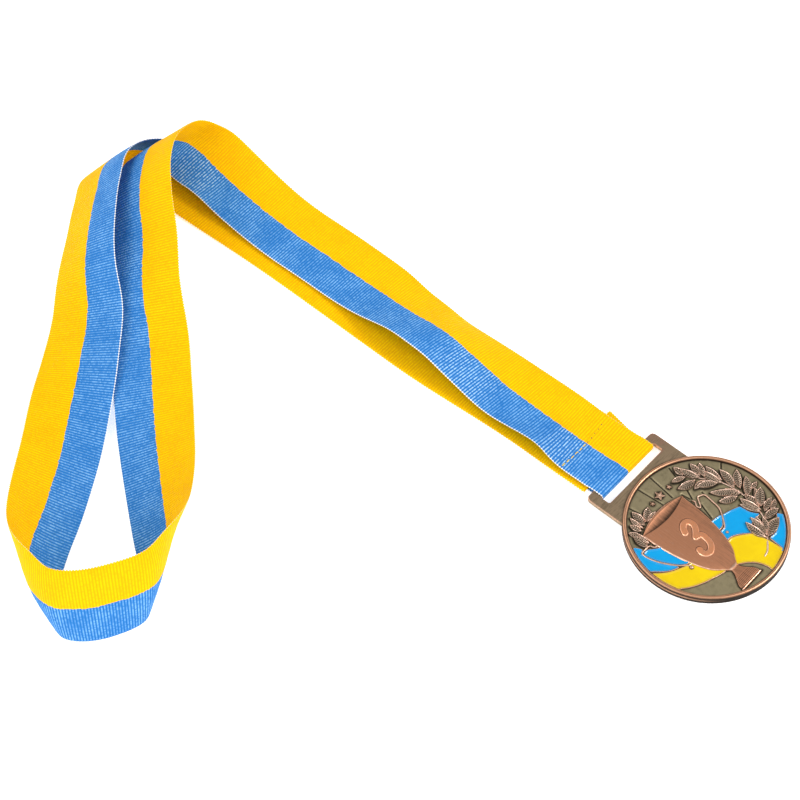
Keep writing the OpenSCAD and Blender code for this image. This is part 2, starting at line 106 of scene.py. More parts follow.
# Laurel leaves: x, y of the base, x, y of the tip, width
LEAVES = [
    [9.5, 16.25, 10, 20.25, 1.8], [12.25, 12, 10.75, 18.5, 2.2], [9.5, 15.25, 5.25, 17.25, 1.6],
    [10.75, 12.5, 4.75, 14.5, 2.4], [12.75, 12.25, 14.25, 17.25, 2], [13.5, 11, 16.25, 15.25, 2],
    [12.75, 10.25, 8, 10.75, 1.8], [15.25, 5.75, 14.5, 13.5, 2.4], [14.25, 6.75, 9, 10.75, 2.2],
    [16, 6.5, 16.75, 13.25, 2.2], [16.25, 2, 18.5, 9.25, 2.4], [16.25, 0.5, 10, 6.5, 2.2],
    [16.25, -0.75, 11.5, 4.75, 2.4], [14.5, -0.5, 9.25, 2.5, 2.2], [16.25, -2.75, 21.75, 2, 2.4],
    [17.25, 0.5, 22, 5.5, 2.4], [19, -1.75, 22.5, -1.75, 1.4], [16.25, -8, 21.5, -3.75, 2.8],
    [16, -7.25, 20.25, -2.5, 2], [15.5, -9.75, 21, -8.5, 2], [17, -11, 21, -9.5, 1.6],
    [13.25, -11.25, 19.25, -12.25, 2.2], [14.5, -9, 12.5, -2.75, 1.8],
    [15.25, -8.75, 14.25, -1.5, 2.2], [15.75, -7.75, 16.25, -1.5, 2.2],
    [9.25, -15.75, 16.75, -14.25, 3], [10.25, -14.75, 13.5, -10.5, 1.6],
    [9.75, -15, 12.5, -8.75, 2], [9.25, -15.5, 11, -7.75, 2], [8.5, -15.75, 8.75, -7.75, 2.2],
    [-12, 14, -10.75, 19.75, 2.4], [-13, 13.5, -12.75, 19, 1.4], [-14.25, 13.25, -15, 17.25, 1.8],
    [-15.25, 12.75, -17.25, 16, 1.6], [-17.25, 8.5, -17.25, 14, 2.4], [-16, 9, -15.5, 13.5, 1.4],
    [-10.75, 14.5, -6.25, 17.25, 2.4], [-10.5, 14, -5.75, 14.5, 1.2]]

# Stars: x, y, radius
STARS = [[-0.5, 17.25, 2], [-4.25, 17, 1.1], [3.75, 17, 1.1]]

# Grooves between the rays: x, y at the rim, x, y at the inner end
RAYS = [
    [-3, 23.25, -2.25, 14.25], [2.75, 23.25, 1.5, 13.75], [-10, 21.5, -9.25, 17.5],
    [9.25, 21.25, 8, 17.5], [21, 10.5, 19, 9], [7.25, 13.75, 5, 9],
    [4.25, 12.5, 4.75, 9.5], [9, 8.5, 8.5, 6.5], [5.25, 6, 3.5, 0.5]]

# The ribbon's route: x, y and height of its middle, heading of the direction from the
# blue edge to the yellow edge, how steeply that climbs, how far the section bows
ROUTE = [
    [-0.5, 36, 2.7, 0, 0, 0], [-1, 49, 2.8, 3, -2, -0.5], [-1, 55.5, 2.8, 1, -7, -2],
    [-0.75, 73.5, 2.7, -4, -3, -0.25], [0.25, 90.5, 4.4, -4, -12, 1.25], [0.5, 103, 6.2, -4, -19, 1.75],
    [0.5, 117, 4, -2, -17, 0], [1, 131, 2.4, -1, -4, 0], [1, 148, 1.7, 0, 0, 0],
    [0.5, 168, 1.8, 0, 0, 0], [1, 188, 3, -1, 4, -1], [1.5, 203, 6, -6, 15, -3],
    [0.5, 211.5, 10.9, -30, 39, -1.5], [-6, 214.5, 17, -42, 43, 0],
    [-13.5, 215.5, 19.7, -52, 42, -0.5], [-20.5, 212, 19.9, -56, 41, -0.5],
    [-30.5, 204, 17.4, -55, 36, -1], [-39, 194.5, 13.6, -51, 30, -0.5],
    [-50, 184.5, 10.2, -49, 19, -0.5], [-62, 170, 5.8, -45, 9, 0],
    [-75, 156, 4.8, -42, 7, 0], [-87.5, 142, 5.4, -39, 17, 0], [-100, 127, 6.8, -37, 31, 1],
    [-110, 115, 9.6, -31, 46, 2.5], [-118.5, 107, 11.4, -6, 70, 3],
    [-126, 104, 12.2, 35, 68, 2], [-136, 108, 12, 48, 64, 1], [-146, 115, 12, 52, 63, 1],
    [-151, 123, 12, 56, 64, 2], [-150, 131, 11.6, 70, 66, 3], [-140, 142, 8, 115, 48, 3],
    [-126, 150, 7, 122, 33, 1], [-110, 160, 6.2, 123, 22, 0], [-95, 171, 5.2, 124, 7, 0],
    [-80, 182, 4.6, 126, -10, 0], [-66, 193, 5.2, 126, -21, 0],
    [-57, 203, 7.8, 121, -34, -0.5], [-45, 213, 10, 119, -43, -0.5],
    [-33, 221.5, 10.6, 121, -46, 0], [-22.5, 227.5, 10.3, 129, -45, 0],
    [-14.5, 227, 9.7, 130, -43, -1.5], [-9, 224, 6.8, 146, -32, -3],
    [-7, 214, 2.6, 166, -15, -2], [-6, 203, 1, 174, -5, -1], [-5, 188, 0.5, 180, 0, 0],
    [-4, 150, 0.5, 180, 0, 0], [-4, 110, 0.5, 180, 0, 0], [-1.5, 58, 0.5, 180, 0, 0],
    [-2, 49, 1.5, 180, 0, 0], [-1.75, 35, 1.6, 180, 0, 0]]


class Slot(Enum):
    """Material slots of the record, by their names."""

    METAL = "medal"
    BLUE = "blue_enamel"
    YELLOW = "yellow_enamel"
    CLOTH = "ribbon"


def unit(v: Array) -> Array:
    """Each vector divided by its own length."""
    return v / np.linalg.norm(v, axis=-1, keepdims=True)


def leftward(run: Array) -> Array:
    """Direction to the left of each run x, y."""
    return unit(run)[..., ::-1] * [-1, 1]


def listed(x: Array, y: Array) -> Array:
    """Points x, y of two grids, one row each."""
    return np.column_stack([x.ravel(), y.ravel()])


def full_turn(count: int) -> Array:
    """Even angles once round, from 0."""
    return np.linspace(0, 2 * np.pi, count, endpoint=False)


def bell(at: Array, middle: float, width: float) -> Array:
    """A smooth bump: 1 at the middle, falling by e to the minus square of the distance in widths."""
    return np.exp(-((at - middle) / width) ** 2)


def eased(at: Array, start: float, end: float) -> Array:
    """0 up to the start, straight from there to 1 at the end, whichever of them is larger."""
    return np.clip((at - start) / (end - start), 0, 1)


def arc_length(line: Array) -> Array:
    """Distance run along a line, from its first point to each of its points."""
    return np.r_[0, np.cumsum(np.linalg.norm(np.diff(line, axis=0), axis=1))]


def resampled(rows: Array, known: Array, wanted: Array) -> Array:
    """Each column of rows that are known at some places, read off at the wanted ones."""
    return np.stack([np.interp(wanted, known, column) for column in rows.T], -1)


def cubic(start: Array, end: Array, leave: Array, arrive: Array, u: Array) -> Array:
    """Points on cubic spans: both ends and the slopes there fix each span.

    Args:
        start: Values at the start.
        end: Values at the end.
        leave: Slope at the start, over one whole span.
        arrive: Slope at the end, over one whole span.
        u: Share of the span, from 0 to 1.

    Returns:
        The values at u.
    """
    return (start * (1 + 2 * u) * (1 - u) ** 2 + end * u * u * (3 - 2 * u)
            + leave * u * (1 - u) ** 2 - arrive * u * u * (1 - u))


def evened(points: Array, step: float, closed: bool = False) -> Array:
    """Points at even steps of arc length along a line.

    Args:
        points: The line's points, one row each.
        step: Wanted distance between two points.
        closed: Whether the line runs back to its first point.

    Returns:
        The new points. A closed line doesn't repeat its first one.
    """
    line = np.vstack([points, points[:1]]) if closed else np.asarray(points, float)
    run = arc_length(line)
    count = max(2, round(run[-1] / step)) + (0 if closed else 1)
    return resampled(line, run, np.linspace(0, run[-1], count, endpoint=not closed))


def curved(points: Table | Array, steps: int = 12) -> Array:
    """A smooth line through an open table of points.

    Each span is a cubic whose end directions are the mean of the two spans that meet there.

    Args:
        points: The table.
        steps: Points on each span.

    Returns:
        Points along the line, the last one included.
    """
    p = np.asarray(points, float)
    slope = np.gradient(p, axis=0)
    u = np.linspace(0, 1, steps, endpoint=False)[None, :, None]
    line = cubic(p[:-1, None], p[1:, None], slope[:-1, None], slope[1:, None], u)
    return np.vstack([line.reshape(-1, p.shape[1]), p[-1:]])


def looped(points: Table, sharp: float = 52.0, step: float = 0.2, steps: int = 12) -> Array:
    """A closed smooth outline that keeps its sharp corners.

    A span is a cubic; its end direction is the mean of both neighbours, or its own
    direction at a corner that turns by more than the sharp angle.

    Args:
        points: Corner points, anticlockwise.
        sharp: Turn in degrees from which a corner stays.
        step: Distance between the outline's points.
        steps: Points on each span.

    Returns:
        The outline's points, kept inside the circle that the pools reach to.
    """
    p = np.asarray(points, float)
    into, out = p - np.roll(p, 1, 0), np.roll(p, -1, 0) - p
    mean = unit(unit(into) + unit(out))
    corner = ((unit(into) * unit(out)).sum(1) < np.cos(np.radians(sharp)))[:, None]
    leave, arrive = np.where(corner, unit(out), mean), np.where(corner, unit(into), mean)
    long = np.linalg.norm(out, axis=1)[:, None, None]
    u = np.linspace(0, 1, steps, endpoint=False)[None, :, None]
    line = cubic(p[:, None], np.roll(p, -1, 0)[:, None], leave[:, None] * long,
                 np.roll(arrive, -1, 0)[:, None] * long, u).reshape(-1, 2)
    far = np.linalg.norm(line, axis=1, keepdims=True)
    line = evened(line * np.minimum(1, POOL_R / far), step, closed=True)
    for _ in range(2):
        line = (np.roll(line, 1, 0) + 2 * line + np.roll(line, -1, 0)) / 4
    return line


def to_line(at: Array, line: Array) -> Array:
    """Distance from each point to an open line of straight spans.

    Args:
        at: Points, one row each.
        line: The line's points.

    Returns:
        One distance for each point.
    """
    a, run = line[:-1], np.diff(line, axis=0)
    off = at[:, None] - a
    share = np.clip((off * run).sum(-1) / (run * run).sum(-1), 0, 1)
    return np.linalg.norm(off - run * share[..., None], axis=-1).min(1)


def to_loop(at: Array, loop: Array) -> Array:
    """Distance to a closed outline, below zero inside it.

    A point is inside where a ray from it towards +X crosses the outline an odd number of times.

    Args:
        at: Points, one row each.
        loop: The outline's points.

    Returns:
        One signed distance for each point.
    """
    a, b = loop, np.roll(loop, -1, 0)
    x, y = at[:, :1], at[:, 1:]
    spans = (a[:, 1] <= y) != (b[:, 1] <= y)
    rise = np.where(np.abs(b[:, 1] - a[:, 1]) < 1e-9, 1e-9, b[:, 1] - a[:, 1])
    crossing = a[:, 0] + (y - a[:, 1]) / rise * (b[:, 0] - a[:, 0])
    inside = (spans & (x < crossing)).sum(1) % 2 == 1
    distance = to_line(at, np.vstack([loop, loop[:1]]))
    return np.where(inside, -distance, distance)


def nearest(at: Array, marks: Array, block_size: int = 2000) -> Array:
    """Distance from each point to the closest of many marks, in blocks that fit memory.

    Args:
        at: Points, one row each.
        marks: The marks, one row each.
        block_size: Points in one block.

    Returns:
        One distance for each point.
    """
    blocks = np.array_split(at.astype(np.float32), max(1, len(at) // block_size))
    return np.concatenate([
        np.sqrt(((block[:, None] - marks[None].astype(np.float32)) ** 2).sum(-1).min(1))
        for block in blocks])


def softened(rows: Array, weights: Array) -> Array:
    """Each column averaged over its neighbours; both ends stay where they are.

    Args:
        rows: Rows of values along a line.
        weights: An odd number of weights, even about their middle.

    Returns:
        The averaged rows.
    """
    reach = len(weights) // 2
    padded = np.pad(rows, ((reach, reach), (0, 0)), mode="reflect", reflect_type="odd")
    return np.stack([np.convolve(column, weights / weights.sum(), mode="valid")
                     for column in padded.T], -1)


def raised(path: Array, profile: Array, width: Array | float, closed: bool = False) -> Array:
    """A profile carried along a flat path.

    Each section is the profile, scaled sideways by the width there, stood upright across
    the path's direction.

    Args:
        path: Points x, y along the middle.
        profile: Points side, height of the closed section.
        width: Sideways scale, one number or one for each path point.
        closed: Whether the path is a loop.

    Returns:
        A grid of sections, one row for each path point.
    """
    ahead = (np.roll(path, -1, 0) - np.roll(path, 1, 0)) if closed else np.gradient(path, axis=0)
    side = leftward(ahead)
    wide = np.broadcast_to(np.asarray(width, float), (len(path),))[:, None, None]
    flat = path[:, None] + side[:, None] * profile[None, :, :1] * wide
    high = np.broadcast_to(profile[None, :, 1:], flat.shape[:2] + (1,))
    return np.concatenate([flat, high], -1)


def threaded(path: Array, radius: Array | float, upright: Array, sides: int = 8) -> Array:
    """A round thread along a path in space.

    Args:
        path: Points x, y, z.
        radius: Radius, one number or one for each point.
        upright: A direction that the path never follows.
        sides: Points round the thread.

    Returns:
        A grid of round sections, one row for each path point.
    """
    ahead = unit(np.gradient(path, axis=0))
    side = unit(np.cross(ahead, upright))
    up = np.cross(side, ahead)
    turn = full_turn(sides)[None, :, None]
    reach = np.broadcast_to(np.asarray(radius, float), (len(path),))[:, None, None]
    return path[:, None] + reach * (side[:, None] * np.cos(turn) + up[:, None] * np.sin(turn))


@dataclass
class Shell:
    """Closed surfaces that are gathered into one piece."""

    name: str
    points: list[Array] = field(default_factory=list)
    quads: list[Array] = field(default_factory=list)
    tris: list[Array] = field(default_factory=list)
    layers: dict[str, list[Array]] = field(default_factory=dict)
    count: int = 0

    def tube(self, grid: Array, closed: bool = False, **layers: Array | float) -> None:
        """Add a tube of closed sections; an open one is capped at both ends.

        Args:
            grid: Sections in rows, points x, y, z round each section.
            closed: Whether the last section joins the first.
            **layers: Values for each point, such as relief and shade.
        """
        rows, cols = grid.shape[:2]
        index = np.arange(rows * cols).reshape(rows, cols)
        low = index if closed else index[:-1]
        high = np.roll(index, -1, 0) if closed else index[1:]
        quads = np.stack([low, np.roll(low, -1, 1), np.roll(high, -1, 1), high], -1)
        points, tris = grid.reshape(-1, 3), np.zeros((0, 3), int)
        values = {k: np.broadcast_to(v, (rows, cols)) for k, v in layers.items()}
        flat = {k: v.reshape(-1) for k, v in values.items()}
        if not closed:
            points = np.vstack([points, grid[0].mean(0), grid[-1].mean(0)])
            flat = {k: np.r_[flat[k], v[0].mean(), v[-1].mean()] for k, v in values.items()}
            first, last, after = index[0], index[-1], np.full(cols, rows * cols)
            tris = np.vstack([
                np.stack([after, np.roll(first, -1), first], -1),
                np.stack([after + 1, last, np.roll(last, -1)], -1)])
        self.take(points, quads.reshape(-1, 4), tris, flat)

    def relief_rows(self, top: Array, relief: Array, shade: Array, under: tuple[float, float],
                    bottom: float = FLOOR_Z, closed: bool = False) -> None:
        """Add rows of relief, each closed by two points below its ends.

        Args:
            top: Rows of points x, y, z over the relief.
            relief: How bright each point is painted: rubbed high points and painted highlights.
            shade: How dark each point is painted: dark patina and painted shade.
            under: Relief and shade of the underside.
            bottom: Height of the underside.
            closed: Whether the last row joins the first.
        """
        low = top[:, [-1, 0]] * [1, 1, 0] + [0, 0, bottom]
        ends = ((0, 0), (0, 2))
        self.tube(np.concatenate([top, low], 1), closed=closed,
                  relief=np.pad(relief, ends, constant_values=under[0]),
                  shade=np.pad(shade, ends, constant_values=under[1]))

    def slab(self, x: Array, y: Array, keep: Array, top: Array, bottom: float,
             **layers: Array | float) -> None:
        """Add a closed slab over the kept cells of a grid.

        Its top is a height over x and y, its underside is flat, and a wall stands on
        every cell edge that has a kept cell on one side only.

        Args:
            x: Grid of x.
            y: Grid of y.
            keep: Which cells are kept, one row and column fewer than the grid.
            top: Grid of heights.
            bottom: Height of the underside.
            **layers: Values for each grid point.
        """
        total = x.size
        index = np.arange(total).reshape(x.shape)
        cells = np.stack(
            [index[:-1, :-1], index[:-1, 1:], index[1:, 1:], index[1:, :-1]], -1)[keep]
        edges = np.concatenate([cells[:, [k, (k + 1) % 4]] for k in range(4)])
        _, first, uses = np.unique(
            edges.min(1) * total + edges.max(1), return_index=True, return_counts=True)
        rim = edges[first[uses == 1]]
        walls = np.stack([rim[:, 1], rim[:, 0], rim[:, 0] + total, rim[:, 1] + total], -1)
        quads = np.vstack([cells, cells[:, ::-1] + total, walls])
        used, renamed = np.unique(quads, return_inverse=True)
        upper = np.stack([x, y, top], -1).reshape(-1, 3)
        lower = np.stack([x, y, np.full_like(x, bottom)], -1).reshape(-1, 3)
        flat = {k: np.tile(np.broadcast_to(v, x.shape).reshape(-1), 2)[used]
                for k, v in layers.items()}
        self.take(np.vstack([upper, lower])[used], renamed.reshape(-1, 4),
                  np.zeros((0, 3), int), flat)

    def take(self, points: Array, quads: Array, tris: Array, values: dict[str, Array]) -> None:
        """Keep one closed surface, turned so that its faces point outwards.

        Args:
            points: Its points.
            quads: Its four-sided faces.
            tris: Its three-sided faces.
            values: One value for each point and layer.
        """
        fans = np.vstack([quads[:, [0, 1, 2]], quads[:, [0, 2, 3]], tris])
        a, b, c = (points[fans[:, k]] for k in range(3))
        turn = 1 if (a * np.cross(b, c)).sum() > 0 else -1
        self.points.append(points)
        self.quads.append(quads[:, ::turn] + self.count)
        self.tris.append(tris[:, ::turn] + self.count)
        for name, value in values.items():
            self.layers.setdefault(name, []).append(value)
        self.count += len(points)

    def piece(self, material: bpy.types.Material, slot: Slot, *nodes: str,
              sharp: float = 40.0) -> bpy.types.Object:
        """Make the piece, in metres, riding on the body.

        Args:
            material: Its finish.
            slot: The record's slot for it; not used.
            *nodes: CAD nodes that it stands for.
            sharp: Angle in degrees from which an edge stays crisp.

        Returns:
            The new object.
        """
        mesh = bpy.data.meshes.new(self.name)
        points = np.concatenate(self.points) * MM
        quads, tris = np.concatenate(self.quads), np.concatenate(self.tris)
        corners = np.concatenate([quads.reshape(-1), tris.reshape(-1)])
        starts = np.concatenate(
            [np.arange(len(quads)) * 4, len(quads) * 4 + np.arange(len(tris)) * 3])
        mesh.vertices.add(len(points))
        mesh.vertices.foreach_set("co", points.reshape(-1).astype(np.float32))
        mesh.loops.add(len(corners))
        mesh.loops.foreach_set("vertex_index", corners.astype(np.int32))
        mesh.polygons.add(len(starts))
        mesh.polygons.foreach_set("loop_start", starts.astype(np.int32))
        mesh.update(calc_edges=True)
        for name, values in self.layers.items():
            layer = mesh.attributes.new(name, "FLOAT", "POINT")
            layer.data.foreach_set("value", np.concatenate(values).astype(np.float32))
        mesh.shade_smooth()
        mesh.set_sharp_from_angle(angle=np.radians(sharp))
        mesh.materials.append(material)
        obj = bpy.data.objects.new(self.name, mesh)
        bpy.context.scene.collection.objects.link(obj)
        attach(obj, "root")
        if nodes:
            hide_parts(*nodes)
        log.info("%s: %d faces", self.name, len(starts))
        return obj


@dataclass
class Graph:
    """A node tree, with short calls that place nodes and join them."""

    tree: bpy.types.NodeTree

    def filled(self, node: bpy.types.Node, inputs: dict) -> bpy.types.Node:
        """Give a placed node its values and links.

        Args:
            node: The node.
            inputs: A value or a socket for each named or numbered input.

        Returns:
            The node.
        """
        for name, value in inputs.items():
            if isinstance(value, bpy.types.NodeSocket):
                self.tree.links.new(value, node.inputs[name])
            else:
                node.inputs[name].default_value = value
        return node

    def node(self, kind: str, inputs: dict | None = None, **settings: object) -> bpy.types.Node:
        """Place a node.

        Args:
            kind: Its type, without the common prefix.
            inputs: A value or a socket for each named or numbered input.
            **settings: Its properties.

        Returns:
            The node.
        """
        node = self.tree.nodes.new("ShaderNode" + kind)
        for name, value in settings.items():
            setattr(node, name, value)
        return self.filled(node, inputs or {})

    def group(self, tree: bpy.types.NodeTree, inputs: dict) -> bpy.types.Node:
        """Place a shared node group with its own values."""
        return self.filled(self.node("Group", node_tree=tree), inputs)

    def math(self, operation: str, a: object, b: object = 0.0) -> bpy.types.NodeSocket:
        """The result of an operation on one or two values."""
        return self.node("Math", {0: a, 1: b}, operation=operation).outputs[0]

    def plus(self, a: object, b: object) -> bpy.types.NodeSocket:
        """The sum of two values."""
        return self.math("ADD", a, b)

    def minus(self, a: object, b: object) -> bpy.types.NodeSocket:
        """The first value less the second."""
        return self.math("SUBTRACT", a, b)

    def times(self, a: object, b: object) -> bpy.types.NodeSocket:
        """The product of two values."""
        return self.math("MULTIPLY", a, b)

    def blend(self, share: object, a: object, b: object) -> bpy.types.NodeSocket:
        """A colour between a and b."""
        inputs = {0: share, 6: a, 7: b}
        return self.node("Mix", inputs, data_type="RGBA").outputs[2]

    def ramp(self, value: object, low: float, high: float, start: float = 0.0,
             end: float = 1.0) -> bpy.types.NodeSocket:
        """The value carried from low..high to start..end, softly, and held at both ends."""
        inputs = {0: value, 1: low, 2: high, 3: start, 4: end}
        return self.node("MapRange", inputs, interpolation_type="SMOOTHSTEP").outputs[0]

    def noise(self, place: object, scale: float, detail: float = 2.0,
              roughness: float = 0.5) -> bpy.types.NodeSocket:
        """Soft noise from 0 to 1 over a place."""
        inputs = {"Vector": place, "Scale": scale, "Detail": detail, "Roughness": roughness}
        return self.node("TexNoise", inputs).outputs["Fac"]

    def bump(self, height: object, strength: float, distance: float) -> bpy.types.NodeSocket:
        """A normal that follows a fine height; the distance is in metres."""
        inputs = {"Height": height, "Strength": strength, "Distance": distance}
        return self.node("Bump", inputs).outputs[0]

    def attribute(self, name: str) -> bpy.types.NodeSocket:
        """A value that the piece's mesh carries at each point."""
        return self.node("Attribute", attribute_name=name).outputs["Fac"]

    def position(self) -> bpy.types.NodeSocket:
        """The place on the piece, in metres."""
        return self.node("TexCoord").outputs["Object"]


class SharedEffects:
    """The node groups that several finishes use."""

    def __init__(self) -> None:
        """Build each group once."""
        self.patina = self.make_patina()
        self.brushing = self.make_brushing()
        self.weave = self.make_weave()

    def start(self, name: str, inputs: dict[str, str], outputs: dict[str, str]) -> tuple[
            Graph, bpy.types.Node, bpy.types.Node]:
        """Begin a group.

        Args:
            name: Its name.
            inputs: Socket kinds by name.
            outputs: Socket kinds by name.

        Returns:
            Its graph, its input node and its output node.
        """
        tree = bpy.data.node_groups.new(name, "ShaderNodeTree")
        for side, sockets in (("INPUT", inputs), ("OUTPUT", outputs)):
            for label, kind in sockets.items():
                tree.interface.new_socket(name=label, in_out=side, socket_type="NodeSocket" + kind)
        return Graph(tree), tree.nodes.new("NodeGroupInput"), tree.nodes.new("NodeGroupOutput")

    def make_patina(self) -> bpy.types.NodeTree:
        """Antique plating: bright where the relief value is high, dark where the shade value is high.

        The lift is the relief, which holds rubbed high points and painted highlights, broken up
        by a fine mottle. Colour runs from low through mid to high along the lift, and the dark
        colour covers it where the shade is deep; the shade holds dark patina and painted shade.

        Returns:
            The group.
        """
        graph, given, result = self.start(
            "antique_patina",
            {"Position": "Vector", "Relief": "Float", "Shade": "Float", "Low": "Color",
             "Mid": "Color", "High": "Color", "Stain and shade": "Color", "Mottle": "Float"},
            {"Color": "Color", "Roughness": "Float", "Metallic": "Float", "Height": "Float"})
        g = given.outputs
        coarse = graph.noise(g["Position"], 420.0, 5.0, 0.6)
        fine = graph.noise(g["Position"], 3600.0, 3.0)
        lift = graph.plus(g["Relief"], graph.times(graph.minus(coarse, 0.5), g["Mottle"]))
        lower = graph.blend(graph.ramp(lift, 0.0, 0.5), g["Low"], g["Mid"])
        upper = graph.blend(graph.ramp(lift, 0.5, 1.0), lower, g["High"])
        deep = graph.times(g["Shade"], graph.ramp(fine, 0.1, 0.6, 0.75, 1.0))
        rubbed = graph.times(graph.ramp(lift, 0.4, 1.0), 0.16)
        dull = graph.minus(graph.ramp(fine, 0.3, 0.7, 0.44, 0.54), rubbed)
        bare = graph.minus(graph.ramp(lift, 0.0, 0.8, 0.72, 1.0), graph.times(deep, 0.5))
        graph.filled(result, {
            "Color": graph.blend(graph.ramp(deep, 0.0, 1.0), upper, g["Stain and shade"]),
            "Roughness": graph.plus(dull, graph.times(deep, 0.2)),
            "Metallic": bare, "Height": fine})
        return graph.tree

    def make_brushing(self) -> bpy.types.NodeTree:
        """Fine parallel strokes: noise that is long one way and short the other.

        Returns:
            The group.
        """
        graph, given, result = self.start(
            "brushed_strokes", {"Position": "Vector", "Stretch": "Vector"}, {"Stroke": "Float"})
        factors = {0: given.outputs["Position"], 1: given.outputs["Stretch"]}
        drawn = graph.node("VectorMath", factors, operation="MULTIPLY").outputs[0]
        graph.filled(result, {"Stroke": graph.ramp(graph.noise(drawn, 1.0, 4.0, 0.65), 0.3, 0.7)})
        return graph.tree

    def make_weave(self) -> bpy.types.NodeTree:
        """Ribs across a ribbon, each crossed by warp threads that pass over in turn.

        A rib's crest is a cosine along the cloth. The threads are cells across it, set
        half a step over in every second rib, and each cell has a value of its own.

        Returns:
            The group.
        """
        graph, given, result = self.start(
            "ribbed_weave",
            {"Across": "Float", "Along": "Float", "Rib": "Float", "Thread": "Float"},
            {"Crest": "Float", "Cell": "Float", "Row": "Float", "Height": "Float"})
        g = given.outputs
        rib = graph.math("DIVIDE", g["Along"], g["Rib"])
        row = graph.math("FLOOR", graph.plus(rib, 0.5))
        crest = graph.ramp(graph.math("COSINE", graph.times(rib, 2 * np.pi)), -1.0, 1.0)
        offset = graph.times(graph.math("PINGPONG", row, 1.0), 0.5)
        warp = graph.plus(graph.math("DIVIDE", g["Across"], g["Thread"]), offset)
        at = graph.node("CombineXYZ", {0: row, 1: graph.math("FLOOR", warp), 2: 0.0}).outputs[0]
        cell = graph.node("TexWhiteNoise", {"Vector": at}, noise_dimensions="3D").outputs["Value"]
        own = graph.node("TexWhiteNoise", {"W": row}, noise_dimensions="1D").outputs["Value"]
        strand = graph.math("SINE", graph.times(graph.math("FRACT", warp), np.pi))
        graph.filled(result, {
            "Crest": crest, "Cell": cell, "Row": own,
            "Height": graph.times(graph.plus(crest, 0.4), strand)})
        return graph.tree


def surface(name: str) -> tuple[Graph, bpy.types.Material, bpy.types.Node]:
    """Begin a material.

    Args:
        name: Its name.

    Returns:
        Its graph, the material and its main shader.
    """
    material = bpy.data.materials.new(name)
    material.use_nodes = True
    return Graph(material.node_tree), material, material.node_tree.nodes["Principled BSDF"]


@dataclass(frozen=True)
class PlatedFinish:
    """Antique copper plating with its colours from the recess up to the rubbed edges and painted
    highlights.
    """

    name: str
    low: Colour
    mid: Colour
    high: Colour
    stain_and_shade: Colour = (0.012, 0.009, 0.006, 1)
    mottle: float = 0.5
    stretch: tuple[float, float, float] = (900.0, 900.0, 900.0)
    strokes: float = 0.15

    def material(self, effects: SharedEffects) -> bpy.types.Material:
        """The finish as a material.

        Args:
            effects: The shared node groups.

        Returns:
            The material.
        """
        graph, material, shader = surface(self.name)
        place = graph.position()
        brushing = {"Position": place, "Stretch": self.stretch}
        stroke = graph.group(effects.brushing, brushing).outputs["Stroke"]
        drawn = graph.times(graph.minus(stroke, 0.5), self.strokes)
        patina = graph.group(effects.patina, {
            "Position": place, "Relief": graph.plus(graph.attribute("relief"), drawn),
            "Shade": graph.attribute("shade"), "Low": self.low, "Mid": self.mid,
            "High": self.high, "Stain and shade": self.stain_and_shade, "Mottle": self.mottle}).outputs
        height = graph.plus(graph.times(stroke, 0.6), patina["Height"])
        graph.filled(shader, {
            "Base Color": patina["Color"], "Roughness": patina["Roughness"],
            "Metallic": patina["Metallic"], "Normal": graph.bump(height, 0.25, 0.00003),
            "Specular IOR Level": 0.1})
        return material


@dataclass(frozen=True)
class EnamelFinish:
    """Glossy soft enamel, a little deeper in colour where it pools thick."""

    name: str
    colour: Colour
    thick: Colour

    def material(self) -> bpy.types.Material:
        """The finish as a material.

        Returns:
            The material.
        """
        graph, material, shader = surface(self.name)
        place = graph.position()
        cloud = graph.ramp(graph.noise(place, 260.0), 0.3, 0.7, 0.0, 0.35)
        peel = graph.noise(place, 900.0)
        share = graph.plus(cloud, graph.times(graph.attribute("relief"), 0.5))
        graph.filled(shader, {
            "Base Color": graph.blend(share, self.colour, self.thick),
            "Roughness": graph.ramp(peel, 0.3, 0.7, 0.16, 0.24),
            "Normal": graph.bump(peel, 0.12, 0.00004), "Specular IOR Level": 0.1,
            "Coat Weight": 0.8, "Coat Roughness": 0.05})
        return material


